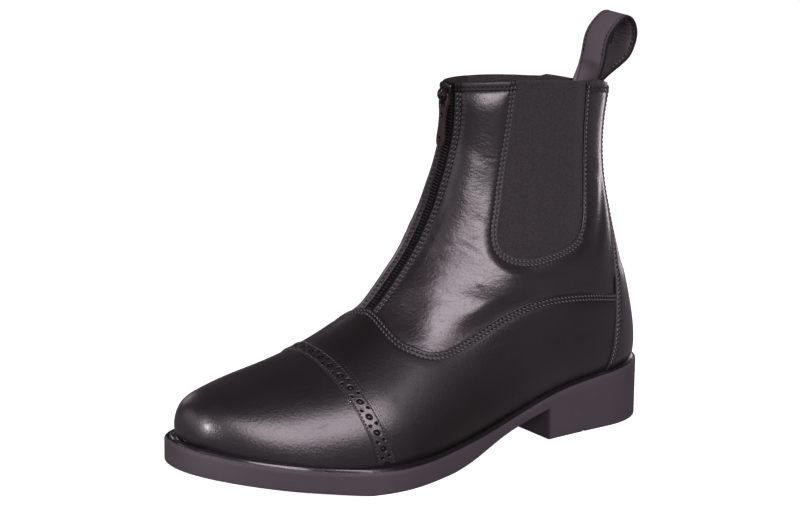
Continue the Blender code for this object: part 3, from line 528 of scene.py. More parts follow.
def new_finish(name, **constants):
    """Material, its shader with constant sockets set, and its Object coordinates."""
    material = bpy.data.materials.new(name)
    material.use_nodes = True
    tree = material.node_tree
    shader = tree.nodes["Principled BSDF"]
    for label, value in constants.items():
        shader.inputs[label.replace("_", " ")].default_value = value
    return material, shader, Shade(tree, tree.nodes.new("ShaderNodeTexCoord").outputs["Object"])


def wire_up(shader, spot, height, depth, **links):
    """Links varying sockets, and a bump of height times depth millimetres to the normal."""
    for label, value in links.items():
        spot.tree.links.new(value.socket, shader.inputs[label.replace("_", " ")])
    bump = spot.node("ShaderNodeBump", {"Height": height, "Strength": 1.0, "Distance": depth / 1000})
    spot.tree.links.new(bump.socket, shader.inputs["Normal"])


lining_leather, shader, spot = new_finish("lining_leather", Specular_IOR_Level=0.3)
patch = spot.noise(14.0)
pores = spot.noise(0.8, 2.0)
wire_up(shader, spot, pores, 0.05, Base_Color=patch.mix((0.012, 0.011, 0.012, 1), (0.022, 0.02, 0.021, 1)),
        Roughness=0.62 + 0.2 * patch)
for side, label in ((1, "outer"), (-1, "inner")):
    row, angle, quads = quarter_sheet(LINING_LEGS, LINING_MIDDLE, side)
    body = laid_body(row, side * angle, quads, *LINING_LIFTS)
    add_piece("quarter_lining_" + label, *body, lining_leather, "black_leather", ["upper"])
body = laid_body(*vamp_sheet(*LINING_VAMP, LINING_LEVEL), *LINING_LIFTS)
add_piece("vamp_lining", *body, lining_leather, "black_leather", ["upper"])


# Footbed: a soft dark sheet laid inside on the sole, its edge against the lining.
# It is cut from felted board with a fabric face, a little dished under the heel and raised under the arch.
FOOTBED_THICK = 3.0
FOOTBED_EDGE = -4.4
ARCH_AT = 112.0
ARCH_RUN = 34.0
ARCH_RISE = 1.6
DISH_AT = 34.0
DISH_RUN = 24.0
DISH_DEPTH = 0.8
SOLE_CLEAR = 0.02
CROWN_POWER = 8
FOOTBED_GRID = (90, 31)


def feather_point(share, side, lift):
    """Point near the upper's lower edge, by the share of its length from heel to toe."""
    rows = np.linspace(0, HEEL_ROW, 1500)
    along = last_point(rows, end_angle(rows, 0.0))[..., 0]
    order = np.argsort(along)
    from_heel = (along[order] - along.min()) / (along.max() - along.min())
    row = np.interp(share, from_heel, rows[order])
    angle = np.where(np.asarray(share) <= 0, np.pi, end_angle(row, 0.0))
    return on_last(row, side * angle, lift)


shares = (1 - np.cos(np.pi * np.linspace(0, 1, FOOTBED_GRID[0]))) / 2
reach = np.sin(np.linspace(-0.5, 0.5, FOOTBED_GRID[1]) * np.pi)
right, left = [feather_point(shares, side, FOOTBED_EDGE) for side in (1, -1)]
flat = (left + right)[:, None, :] / 2 + (right - left)[:, None, :] / 2 * reach[None, :, None]
floor = side_top(np.clip(flat[..., 0], 0, SOLE_LENGTH)) + WELT_RISE
crown = (1 - np.abs(reach[None, :]) ** CROWN_POWER) ** 0.5
arch = np.exp(-((flat[..., 0] - ARCH_AT) / ARCH_RUN) ** 2) * np.clip(-reach[None, :], 0, 1) ** 2
heel_dish = np.exp(-((flat[..., 0] - DISH_AT) / DISH_RUN) ** 2) * (1 - reach[None, :] ** 2)
height = floor + FOOTBED_THICK * crown + ARCH_RISE * arch * crown - DISH_DEPTH * heel_dish
top = np.concatenate([flat[..., :2], height[..., None]], -1)
under = np.concatenate([flat[..., :2], floor[..., None] + SOLE_CLEAR], -1)
quads = grid_quads(*top.shape[:2])
rim_count = top[..., 0].size
footbed_felt, shader, spot = new_finish("footbed_felt", Specular_IOR_Level=0.25)
patch = spot.noise(18.0)
weave = spot.noise(0.7, 2.0)
wire_up(shader, spot, weave, 0.2, Base_Color=patch.mix((0.02, 0.018, 0.018, 1), (0.036, 0.033, 0.033, 1)),
        Roughness=0.8 + 0.12 * weave)
add_piece("footbed_sheet", np.concatenate([top.reshape(-1, 3), under.reshape(-1, 3)]),
          np.concatenate([quads, quads[:, ::-1] + rim_count]), footbed_felt, "footbed", ["insole"])


# Quarters: two panels of smooth black leather, one a side, each cut round its gore and joined at the back.
# Folded edges are sewn down with double rows at zip, collar and gore, but one row at the gore's back edge.
# The leather swells between the seams, most under the collar, and has creased and sunk where the ankle bends.
QUARTER_FACE = -0.5
QUARTER_THICK = 1.2
QUARTER_ROUND = 0.6
GORE_ROWS = (1.4, 3.3)
ZIP_ROWS = (1.6, 3.6)
COLLAR_ROWS = (2.8, 4.8)
STITCH_PITCH = 2.5
STITCH_SHARE = 0.86
STITCH_SLANT = -0.45
THREAD_RADIUS = 0.46
ROW_TROUGH = 0.32
ROW_WIDTH = 0.65
PANEL_PUFF = 1.3
PUFF_RUN = 3.2
PUFF_RATES = (1.5, 0.75, 0.65)
PUFF_OFF_VAMP = (0, 25)
BACK_TURN = (1.5, 1.9)
BACK_PUFF_LOSS = 0.6
COLLAR_PUFF = 2.1
PILLOW_RISE = 11.0
PILLOW_FALL = (8, 40)
ZIP_PUFF = 1.2
ZIP_PUFF_RISE = (0, 7)
ZIP_PUFF_FALL = (7, 22)
ZIP_PUFF_OFF_GORE = (0, 8)
SHIN_RISE = (95, 118)
SHIN_FALL = (150, 172)
COLLAR_FOLD = 0.3
COLLAR_FOLD_WIDTH = 0.6
MOUND_OFF_SEAMS = (0, 6)
MOUND_OFF_VAMP = (1.0, 11)
SEAM_PAINTED_SHADE = 0.7
RIM_RUN = (-0.7, 0.3)
PUCKER_AT = 1.1
PUCKER_WIDTH = 1.5
PUCKER_OFF_COLLAR = (6, 9)
PUCKER_BACK_TURN = (0.9, 1.2)
PUCKER_BACK_LOSS = 0.6
STITCH_SINK = 0.08
GORE_TRIMS = (2.0, 2.0)
ZIP_TRIMS = (5.0, 5.0)
COLLAR_FRONT_TRIMS = (5.2, 5.2)
COLLAR_BACK_TRIMS = (5.0, 10.0)
DOUBLE_RUN = (0.1, 2.0)
DOUBLE_SHORT = 0.4
BACK_LEG_EARLY = 0.5
SEAM_POINTS = 500
DOUBLE_POINTS = 400
BACK_LEG_POINTS = 200
COLLAR_POINTS = (60, 50)
QUARTER_LEGS = (124, 100, 70)
QUARTER_MIDDLE = 38
GRAIN_LEAN = 0.4

# Creases of a quarter, seen from the side: line of (along, up), half width, depth
CREASES = (
    (((130.6, 115.5), (127.5, 113.5), (124.1, 111.1), (121.1, 109.0)), 1.0, 0.6),
    (((110.7, 162.9), (106.4, 162.2), (102.0, 160.8)), 0.8, 0.22),
    (((110.0, 160.5), (106.0, 159.5), (102.0, 158.0)), 0.8, 0.22),
    (((112.7, 157.6), (107.7, 157.0), (102.8, 155.6)), 0.9, 0.2),
    (((119.5, 166.5), (115.5, 160.9), (110.8, 154.8)), 3.6, 0.35),
    (((139.0, 119.5), (136.0, 115.5), (131.0, 112.0)), 1.7, 0.26),
    (((142.4, 111.5), (140.0, 107.0), (134.0, 103.5)), 1.8, 0.24),
    (((126.7, 97.8), (122.9, 97.0), (121.3, 94.6)), 1.2, 0.12),
    (((127.6, 96.4), (126.6, 93.4), (122.9, 92.2)), 1.2, 0.12),
    (((154.0, 89.0), (145.0, 89.8), (140.0, 88.8), (132.0, 87.4), (123.5, 85.8), (114.0, 83.8),
      (106.0, 82.5)), 5.5, 0.8),
    (((121.0, 128.0), (117.0, 124.5), (113.5, 119.0)), 2.4, 0.2),
    (((96.0, 96.5), (84.0, 97.5), (70.0, 96.0)), 3.4, 0.3),
    (((47.0, 150.0), (44.6, 147.0), (42.0, 144.4), (38.8, 142.0), (34.4, 138.2)), 3.6, 0.8),
    (((30.0, 140.0), (31.0, 128.0), (36.0, 114.0), (44.0, 102.0)), 5.0, 0.9),
)

# Soft mounds of a quarter, and a hollow as a mound below 0, seen from the side: along, up, half width, height
MOUNDS = ((106.0, 99.0, 16.0, 1.6), (163.0, 80.0, 13.0, -1.4), (114.0, 79.0, 22.0, 3.4),
          (124.7, 95.1, 1.8, 0.35))

# A crease's points along its line, how far its ends stay short, and the low swelling beside it
CREASE_POINTS = 24
CREASE_ENDS = (0.06, 0.94)
CREASE_TAPER = 0.7
BESIDE_SHARE = 0.45
BESIDE_WIDTH = 5


def crease_relief(points, side, table):
    """Height of soft folds: a trough of bell section along each line, with a low swelling beside it."""
    height = np.zeros(len(points))
    for line, width, depth in table:
        spots = smooth_line(line, np.linspace(0, len(line) - 1, CREASE_POINTS))
        row, angle = last_spot(spots[:, 0], spots[:, 1])
        middle = on_last(row, side * angle, QUARTER_FACE)
        taper = depth * np.sin(np.pi * np.linspace(*CREASE_ENDS, CREASE_POINTS)) ** CREASE_TAPER
        gap = np.sum((points[:, None, :] - middle[None]) ** 2, -1) / width ** 2
        height -= np.max(taper * np.exp(-gap), axis=1)
        height += BESIDE_SHARE * np.max(taper * np.exp(-gap / BESIDE_WIDTH), axis=1)
    return height


def mound_relief(points, side, table):
    """Height of soft mounds, each a bell about its middle."""
    height = np.zeros(len(points))
    for along, up, width, rise in table:
        row, angle = last_spot(along, up)
        middle = on_last(row, side * angle, QUARTER_FACE)
        height += rise * np.exp(-np.sum((points - middle) ** 2, -1) / width ** 2)
    return height


def edge_drop(distance, radius):
    """Fall of a rounded edge: a quarter circle over the last radius before the edge."""
    return radius * (1 - np.sqrt(1 - (1 - np.clip(distance / radius, 0, 1)) ** 2))


def trough(distance, at):
    """Groove that a sewn row pulls into leather: a bell at a distance from the edge."""
    return ROW_TROUGH * np.exp(-((distance - at) / ROW_WIDTH) ** 2)


def threads(starts, ends, normals, radius):
    """Sewn stitches: six-sided threads of five rings that swell in the middle and dip at either end."""
    count = len(starts)
    heading = ends - starts
    side = np.cross(normals, heading)
    side = side / np.linalg.norm(side, axis=-1, keepdims=True)
    spots = np.array([0.0, 0.2, 0.5, 0.8, 1.0])
    swell = np.array([0.35, 0.9, 1.0, 0.9, 0.35])
    dip = np.array([0.95, 0.2, 0.0, 0.2, 0.95])
    turn = np.arange(6) * np.pi / 3
    middle = starts[:, None] + heading[:, None] * spots[None, :, None]
    middle = middle - normals[:, None] * (dip * radius)[None, :, None]
    ring = np.cos(turn)[:, None, None] * side + np.sin(turn)[:, None, None] * normals
    points = middle[:, :, None] + ring.transpose(1, 0, 2)[:, None] * (swell * radius)[None, :, None, None]
    quads = grid_quads(5, 6, wrap=True)
    first = np.array([[0, 1, 2, 3], [3, 4, 5, 0]])
    one = np.concatenate([quads, first[:, ::-1], first + 24])
    faces = (one[None] + 30 * np.arange(count)[:, None, None]).reshape(-1, 4)
    return points.reshape(-1, 3), faces


def sewn_row(path, normals, pitch=STITCH_PITCH, slant=STITCH_SLANT):
    """Stitches at even steps along a path, each a little aslant to it."""
    run = run_length(path)
    count = max(2, int(run[-1] / pitch))
    middle = (np.arange(count) + 0.5) / count * run[-1]
    half = STITCH_SHARE * run[-1] / count / 2

    def read(values, at):
        return np.stack([np.interp(at, run, column) for column in values.T], -1)

    normal = read(normals, middle)
    normal = normal / np.linalg.norm(normal, axis=-1, keepdims=True)
    starts = read(path, middle - half)
    ends = read(path, middle + half)
    side = np.cross(normal, ends - starts)
    side = side / np.linalg.norm(side, axis=-1, keepdims=True) * slant
    return threads(starts - side, ends + side, normal, THREAD_RADIUS)


def row_on_last(line, side, lift, trims):
    """Sewn row along a line of rows and angles on one side of the last, cut short by a trim at either end."""
    row, angle = line
    path = on_last(row, side * angle, lift)
    run = run_length(path)
    keep = (run >= trims[0]) & (run <= run[-1] - trims[1])
    return sewn_row(path[keep], last_normal(row, side * angle)[keep])


def joined(parts):
    """Several bodies as one list of points and faces."""
    starts = np.cumsum([0] + [len(points) for points, faces in parts[:-1]])
    return (np.concatenate([points for points, faces in parts]),
            np.concatenate([faces + start for start, (points, faces) in zip(starts, parts)]))


def grained_leather(name, dark, light, rough, gloss, grain, depth, lines, coat_rough=0.24):
    """Black leather: pebbles, pores and fine leaning wrinkles as bump, blots and scuffs in colour and gloss.

    A piece's own marks pale its folded rim, paint shade into its pits and the grooves of its sewn rows, black
    and without shine, dull a band of it, calm its wrinkles where it is drawn tight, and pucker it beside a
    sewn row.
    """
    material, shader, spot = new_finish(name, Coat_Roughness=coat_rough, Coat_IOR=1.45,
                                        Specular_IOR_Level=0.5)
    blots = spot.noise(22.0, 4.0)
    fine = spot.noise(2.6, 3.0)
    pores = spot.noise(grain * 0.5, 2.0)
    pebbles = spot.cells(grain)
    leaning = spot.node("ShaderNodeMapping", {"Vector": spot, "Rotation": (GRAIN_LEAN, 0, 0)})
    wrinkles = leaning.noise(1.2, 2.0, (1, 5, 1)) + leaning.noise(2.4, 2.0, (1, 4, 1))
    wrinkles = wrinkles + 0.6 * leaning.noise(8.0, 2.0, (1, 2, 1))
    scuffs = spot.noise(5.0, 6.0, (1, 5, 1)).step(0.58, 0.72)
    rim = spot.mark("rim")
    # Painted shade: this mark paints pits and sewn-row grooves black, rough and uncoated, and Metallic takes
    # their last shine
    pit = spot.mark("pit")
    calm = spot.mark("calm")
    run = spot.mark("sewn_run") * (2 * np.pi / STITCH_PITCH)
    puckers = spot.mark("pucker") * run.sine()
    colour = (0.6 * blots + 0.4 * fine).mix((*dark, 1), (*light, 1))
    worn = (0.3 * fine + 0.7 * pores).mix((0.022, 0.02, 0.0218, 1), (0.05, 0.046, 0.0495, 1))
    colour = pit.mix(rim.mix(colour, worn), (0.002, 0.002, 0.002, 1))
    height = 0.2 * pebbles + 0.25 * pores + 0.15 * fine + lines * wrinkles * (1 - 0.8 * calm) + 0.4 * puckers
    dull = rough * (1 - 0.35 * calm) + 0.1 * (blots - 0.5) + 0.06 * scuffs + 0.16 * rim + 0.55 * pit
    coat = (gloss - 0.5 * gloss * scuffs) * (1 - 0.8 * rim) * (1 - pit)
    wire_up(shader, spot, height, depth, Base_Color=colour, Roughness=dull, Coat_Weight=coat, Metallic=pit)
    return material


quarter_leather = grained_leather("quarter_leather", (0.0115, 0.0092, 0.0108), (0.0195, 0.0158, 0.0186),
                                  rough=0.37, gloss=0.75, grain=1.4, depth=0.24, lines=0.9, coat_rough=0.3)


def thread_finish(name, dark, light):
    """Twisted thread: its plies as fine noise in colour, gloss and bump."""
    material, shader, spot = new_finish(name, Specular_IOR_Level=0.45)
    twist = spot.noise(0.4, 2.0)
    wire_up(shader, spot, twist, 0.06, Base_Color=twist.mix((*dark, 1), (*light, 1)),
            Roughness=0.34 + 0.15 * twist)
    return material


waxed_thread = thread_finish("waxed_thread", (0.036, 0.0325, 0.036), (0.1, 0.091, 0.099))
dark_thread = thread_finish("dark_thread", (0.012, 0.0105, 0.0118), (0.03, 0.027, 0.0296))


def run_beside(points, line):
    """Distance along a line of points to the place next to every point, found in blocks of points."""
    run = run_length(line)
    blocks = np.array_split(points, max(1, len(points) * len(line) // BLOCK))
    closest = [np.argmin(np.sum((block[:, None] - line[None]) ** 2, -1), axis=1) for block in blocks]
    return run[np.concatenate(closest)]


front_zip_row = np.linspace(COLLAR_ROW, THROAT_ROW, SEAM_POINTS)
gore_line = gore_edge_line(0, len(GORE_EDGE) - 1, SEAM_POINTS)
gore_back = gore_edge_line(GORE_BACK_CORNER - BACK_LEG_EARLY, len(GORE_EDGE) - 1, BACK_LEG_POINTS)
gore_double = gore_edge_line(0, GORE_BACK_CORNER - DOUBLE_SHORT, DOUBLE_POINTS)
vamp_line = vamp_edge_line(SEAM_POINTS)
collar_level = [np.full(count, COLLAR_ROW) for count in COLLAR_POINTS]
for side, label in ((1, "outer"), (-1, "inner")):
    zip_line = front_zip_row, zip_angle(front_zip_row, ZIP_EDGE + side * zip_middle(front_zip_row))
    collar_front = collar_level[0], np.linspace(zip_line[1][0], gore_line[1][0], COLLAR_POINTS[0])
    collar_back = collar_level[1], np.linspace(gore_line[1][-1], np.pi, COLLAR_POINTS[1])
    row, angle, quads = quarter_sheet(QUARTER_LEGS, QUARTER_MIDDLE, side)
    points = on_last(row, side * angle, QUARTER_FACE)
    lines = [on_last(line[0], side * line[1], QUARTER_FACE)
             for line in (gore_line, zip_line, collar_front, collar_back, vamp_line)]
    to_gore, to_zip, to_front, to_back, to_vamp = [nearest(points, line) for line in lines]
    to_collar = np.minimum(to_front, to_back)
    drop = np.maximum.reduce([edge_drop(to_gore, QUARTER_ROUND), edge_drop(to_zip, QUARTER_ROUND),
                              edge_drop(to_collar, QUARTER_ROUND)])
    to_back_leg = nearest(points, on_last(gore_back[0], side * gore_back[1], QUARTER_FACE))
    double = smooth_step(to_back_leg - to_gore, *DOUBLE_RUN)
    relief_rows = -trough(to_gore, GORE_ROWS[0]) - double * trough(to_gore, GORE_ROWS[1])
    relief_rows = relief_rows - sum(trough(to_zip, at) for at in ZIP_ROWS)
    relief_rows = relief_rows - sum(trough(to_collar, at) for at in COLLAR_ROWS)
    past_gore = to_gore - GORE_ROWS[0] - (GORE_ROWS[1] - GORE_ROWS[0]) * double
    past_zip = to_zip - ZIP_ROWS[1]
    past_collar = to_collar - COLLAR_ROWS[1]
    past_rows = np.minimum.reduce([past_gore, past_zip, past_collar])
    past_sides = np.minimum(past_zip, past_gore)
    tight = smooth_step(angle, *BACK_TURN)
    rising = [rate * past for rate, past in zip(PUFF_RATES, (past_gore, past_zip, past_collar))]
    swell = PANEL_PUFF * (1 - np.exp(-np.maximum(np.minimum.reduce(rising), 0) / PUFF_RUN))
    swell = swell * (1 - BACK_PUFF_LOSS * tight) * smooth_step(to_vamp, *PUFF_OFF_VAMP)
    shin = smooth_step(points[:, 2], *SHIN_RISE) * (1 - smooth_step(points[:, 2], *SHIN_FALL))
    zip_swell = smooth_step(past_zip, *ZIP_PUFF_RISE) - smooth_step(past_zip, *ZIP_PUFF_FALL)
    swell = swell + ZIP_PUFF * shin * zip_swell * smooth_step(past_gore, *ZIP_PUFF_OFF_GORE)
    pillow = 1 - (1 - np.clip(past_collar / PILLOW_RISE, 0, 1)) ** 2
    pillow = pillow * (1 - smooth_step(past_collar, *PILLOW_FALL)) * (1 - tight)
    swell = swell + COLLAR_PUFF * pillow * (1 - np.exp(-np.maximum(past_sides, 0) / PUFF_RUN))
    fold = COLLAR_FOLD * np.exp(-((to_collar - sum(COLLAR_ROWS) / 2) / COLLAR_FOLD_WIDTH) ** 2)
    over_vamp = points[:, 2] - np.interp(points[:, 0], *np.array(VAMP_EDGE)[:0:-1].T)
    off_seams = smooth_step(past_rows, *MOUND_OFF_SEAMS) * smooth_step(over_vamp, *MOUND_OFF_VAMP)
    mounds = mound_relief(points, side, MOUNDS) * off_seams
    relief = relief_rows + fold + swell + mounds + crease_relief(points, side, CREASES)
    outside = QUARTER_FACE + relief - drop
    body = laid_body(row, side * angle, quads, outside, QUARTER_FACE - QUARTER_THICK + drop)
    sides_run = np.where(to_zip < to_gore, run_beside(points, lines[1]), run_beside(points, lines[0]))
    pucker = np.exp(-((past_sides - PUCKER_AT) / PUCKER_WIDTH) ** 2)
    pucker = pucker * smooth_step(to_collar, *PUCKER_OFF_COLLAR)
    # Painted shade in the grooves of the sewn rows, darkest where each groove is deepest
    marks = {"rim": 1 - smooth_step(past_rows, *RIM_RUN),
             "sewn_run": sides_run,
             "pit": np.clip(-relief_rows / ROW_TROUGH, 0, 1) * SEAM_PAINTED_SHADE,
             "calm": tight,
             "pucker": pucker * (1 - PUCKER_BACK_LOSS * smooth_step(angle, *PUCKER_BACK_TURN))}
    add_piece("quarter_" + label, *body, quarter_leather, "black_leather", ["upper"],
              **{name: np.tile(values, 2) for name, values in marks.items()})
    seat = QUARTER_FACE - STITCH_SINK
    rows = [row_on_last(beside(line, -at), side, seat, GORE_TRIMS)
            for line, at in zip((gore_line, gore_double), GORE_ROWS)]
    rows += [row_on_last(beside(zip_line, at), side, seat, ZIP_TRIMS) for at in ZIP_ROWS]
    add_piece("quarter_stitches_" + label, *joined(rows), waxed_thread, "black_leather")
    rows = [row_on_last(beside(line, -at), side, seat, trims) for at in COLLAR_ROWS
            for line, trims in ((collar_front, COLLAR_FRONT_TRIMS), (collar_back, COLLAR_BACK_TRIMS))]
    add_piece("collar_stitches_" + label, *joined(rows), dark_thread, "black_leather")


# Gores: woven elastic panels, one a side, that let the ankle open.
# Each is sewn behind the leather's edge with its top folded over, and its fine ribs run level.
GORE_FACE = -1.0
GORE_SEAT = -1.8
GORE_THICK = 0.8
GORE_UNDER = 3.0
GORE_BULGE = (0.8, 9)
GORE_FOLD = 2.4
GORE_FOLD_DEPTH = 0.3
GORE_FOLD_WIDTH = 0.5
GORE_ROUND = 0.4
GORE_GRID = (110, 90)
GORE_TOP_POINTS = 60
RIB = 0.98
CORD = 0.8


def gore_sheet(up_count, across_count):
    """Rows, angles and faces of a gore, and its border: a patch between two legs, bottom and straight top.

    A point is a mix of front and back leg by its share across, plus the bottom's curve, fading out upwards.
    """
    corners = (0, GORE_FRONT_CORNER, GORE_BACK_CORNER, len(GORE_EDGE) - 1)
    counts = (up_count, across_count, up_count)
    parts = [gore_edge_line(a, b, n) for a, b, n in zip(corners, corners[1:], counts)]
    line = [np.concatenate([parts[0][k], parts[1][k][1:], parts[2][k][1:]]) for k in (0, 1)]
    border = np.stack(beside(line, -GORE_UNDER), -1)
    border[[0, -1], 0] = COLLAR_ROW
    front = border[:up_count, None]
    bottom = border[None, up_count - 1:up_count + across_count - 1]
    back = border[up_count + across_count - 2:][::-1, None]
    share = np.linspace(0, 1, across_count)[None, :, None]
    down = np.linspace(0, 1, up_count)[:, None, None]
    chord = front[-1] * (1 - share) + back[-1] * share
    patch = front * (1 - share) + back * share + (bottom - chord) * down
    return patch[..., 0].ravel(), patch[..., 1].ravel(), grid_quads(up_count, across_count), border.T


woven_elastic, shader, spot = new_finish("woven_elastic", Specular_IOR_Level=0.25, Sheen_Weight=0.12,
                                         Sheen_Roughness=0.5)
rib_across = spot.mark("rib_across")
rib_up = spot.mark("rib_up")
cords = (rib_across * (2 * np.pi / CORD)).sine()
ribs = (rib_up * (2 * np.pi / RIB)).sine()
fuzz = spot.noise(0.5, 3.0)
patch = spot.noise(1.3, 4.0)
weave = 0.5 + 0.3 * ribs + 0.2 * ribs * cords
yarns = 0.35 * weave + 0.3 * fuzz + 0.35 * patch.step(0.3, 0.7)
wire_up(shader, spot, 0.7 * weave + 0.5 * fuzz, 0.16,
        Base_Color=yarns.mix((0.01, 0.0088, 0.0098, 1), (0.042, 0.0375, 0.0412, 1)),
        Roughness=0.78 + 0.15 * fuzz)
for side, label in ((1, "outer"), (-1, "inner")):
    row, angle, quads, border = gore_sheet(*GORE_GRID)
    points = on_last(row, side * angle, GORE_FACE)
    top_angle = side * np.linspace(border[1][0], border[1][-1], GORE_TOP_POINTS)
    to_top = nearest(points, on_last(np.full(GORE_TOP_POINTS, COLLAR_ROW), top_angle, GORE_FACE))
    inside = nearest(points, on_last(border[0], side * border[1], GORE_FACE)) - GORE_UNDER
    bulge = GORE_SEAT + (GORE_FACE - GORE_SEAT) * smooth_step(inside, *GORE_BULGE)
    fold = GORE_FOLD_DEPTH * np.exp(-((to_top - GORE_FOLD) / GORE_FOLD_WIDTH) ** 2)
    fold = fold + edge_drop(to_top, GORE_ROUND)
    body = laid_body(row, side * angle, quads, bulge - fold, bulge - GORE_THICK)
    marks = {"rib_across": np.tile(points[:, 0], 2), "rib_up": np.tile(points[:, 2], 2)}
    add_piece("gore_" + label + "_weave", *body, woven_elastic, "elastic", ["gore_" + label], **marks)


# Vamp with toe cap: smooth polished leather pulled over the toe, its wings running back to the heel.
# It laps over the quarters, sewn down with a double row, and its lower edge is drawn in under the welt.
# The leather is a little fuller below the seam, and duller behind the cap, where the foot bends it.
VAMP_FACE = 0.2
VAMP_THICK = 0.66
VAMP_ROUND = 0.5
VAMP_ROWS = (1.7, 3.7)
VAMP_TUCK = -1.4
VAMP_TRIMS = (0.0, 26.0)
VAMP_FULL = 0.3
VAMP_FULL_FROM_EDGE = 9.0
VAMP_DULL = 0.34
DULL_RISE = (5.5, 6.1)
DULL_FALL = (7.2, 9)
VAMP_GRID = (110, 44, 40, 130)

vamp_leather = grained_leather("vamp_leather", (0.0078, 0.0062, 0.0074), (0.0135, 0.0109, 0.0129),
                               rough=0.36, gloss=0.43, grain=1.3, depth=0.28, lines=0.22, coat_rough=0.28)
row, angle, quads = vamp_sheet(*VAMP_GRID, VAMP_TUCK)
points = on_last(row, angle, VAMP_FACE)
both = [on_last(vamp_line[0], side * vamp_line[1], VAMP_FACE) for side in (1, -1)]
to_edge = np.minimum(nearest(points, both[0]), nearest(points, both[1]))
rows_deep = sum(trough(to_edge, at) for at in VAMP_ROWS)
relief = -rows_deep - edge_drop(to_edge, VAMP_ROUND)
relief = relief + VAMP_FULL * smooth_step(to_edge, VAMP_ROWS[1], VAMP_FULL_FROM_EDGE)
body = laid_body(row, angle, quads, VAMP_FACE + relief, VAMP_FACE - VAMP_THICK)
flexed = VAMP_DULL * smooth_step(row, *DULL_RISE) * (1 - smooth_step(row, *DULL_FALL))
# Painted shade in the grooves of the sewn rows, carried in one mark with the duller band behind the cap
pit = np.maximum(np.clip(rows_deep / ROW_TROUGH, 0, 1) * SEAM_PAINTED_SHADE, flexed)
add_piece("vamp", *body, vamp_leather, "black_leather", ["upper"], pit=np.tile(pit, 2))
rows = []
for side in (1, -1):
    for at in VAMP_ROWS:
        rows.append(row_on_last(beside(vamp_line, -at), side, VAMP_FACE - STITCH_SINK, VAMP_TRIMS))
add_piece("vamp_stitches", *joined(rows), waxed_thread, "black_leather")


# Brogue strip: a band of the same leather across the vamp behind the toe cap, punched in a row.
# Ringed holes stand on its middle with a pair of small ones between them, each hole with a low lip.
# It is sewn along both edges, and a third row runs on the vamp behind it.
STRIP_DEPTH = 0.37
STRIP_FACE = 0.95
STRIP_THICK = 0.75
STRIP_ROUND = 0.35
STRIP_CLEAR = 1.6
PUNCH_PITCH = 9.2
RING_RADIUS = 1.65
RING_PIT = 0.42
RING_EASE = (-0.25, 0.3)
DOT_RADIUS = 0.75
DOT_RISE = 0.8
DOT_EASE = (-0.35, 0.35)
SMALL_RADIUS = 0.85
SMALL_OFF = 2.05
SMALL_SHIFT = 0.6
SMALL_EASE = (-0.25, 0.35)
LIP_RISE = 0.07
LIP_WIDTH = 0.3
RING_LIP = 0.35
SMALL_LIP = 0.3
PIT_PAINTED_SHADE = 0.92
STRIP_SEAM = 1.1
STRIP_SEAM_DEPTH = 0.2
STRIP_SEAM_WIDTH = 0.5
STRIP_STITCH = (2.0, 0.1)
STRIP_STITCH_SINK = 0.12
STRIP_STITCH_LINES = (8, -9)
BEHIND_STRIP = 0.05
STRIP_GRID = (34, 620)
STRIP_EDGE = ((-115, 5.42), (-60, 5.5), (-15, 5.49), (0, 5.44), (45, 5.26), (75, 5.16), (115, 5.05))

strip_front = smooth_curve(*np.array(STRIP_EDGE, float).T)
middle_line = STRIP_GRID[0] // 2
turn = np.linspace(-1, 1, STRIP_GRID[1])[None, :]
depth = (STRIP_DEPTH * (0.5 - 0.5 * np.cos(np.pi * np.linspace(0, 1, STRIP_GRID[0]))))[:, None]
reach = end_angle(strip_front(100 * turn) + depth, STRIP_CLEAR)
angle = turn * reach
row = strip_front(np.degrees(angle)) + depth
points = on_last(row, angle, STRIP_FACE)
middle_run = run_length(points[middle_line])
width = np.linalg.norm(np.diff(points, axis=0), axis=-1)
from_front = np.concatenate([np.zeros((1, points.shape[1])), np.cumsum(width, axis=0)])
from_middle = from_front - from_front[-1] / 2
length = np.broadcast_to(middle_run - np.interp(0, angle[middle_line], middle_run), from_middle.shape)
edge = np.minimum(from_front, from_front[-1] - from_front)


def punches(shift, across):
    """Distance to the nearest of a row of holes at even steps along the strip."""
    step = (length - shift + PUNCH_PITCH / 2) % PUNCH_PITCH - PUNCH_PITCH / 2
    return np.hypot(step, from_middle - across)


ring = punches(0, 0)
small = np.minimum(punches(PUNCH_PITCH / 2 - SMALL_SHIFT, SMALL_OFF),
                   punches(PUNCH_PITCH / 2 + SMALL_SHIFT, -SMALL_OFF))
dot = DOT_RISE * smooth_step(DOT_RADIUS - ring, *DOT_EASE)
pit = RING_PIT * smooth_step(RING_RADIUS - ring, *RING_EASE) * (1 - dot)
pit = pit + RING_PIT * smooth_step(SMALL_RADIUS - small, *SMALL_EASE)
lip = np.exp(-((ring - RING_RADIUS - RING_LIP) / LIP_WIDTH) ** 2)
lip = LIP_RISE * (lip + np.exp(-((small - SMALL_RADIUS - SMALL_LIP) / LIP_WIDTH) ** 2))
sewn = STRIP_SEAM_DEPTH * np.exp(-((edge - STRIP_SEAM) / STRIP_SEAM_WIDTH) ** 2)
lift = STRIP_FACE - pit + lip - sewn - edge_drop(edge, STRIP_ROUND)
strip_leather = grained_leather("strip_leather", (0.011, 0.009, 0.0105), (0.018, 0.0148, 0.0172),
                                rough=0.36, gloss=0.55, grain=0.8, depth=0.08, lines=0.3)
quads = grid_quads(*row.shape)
body = laid_body(row.ravel(), angle.ravel(), quads, lift.ravel(), np.full(row.size, STRIP_FACE - STRIP_THICK))
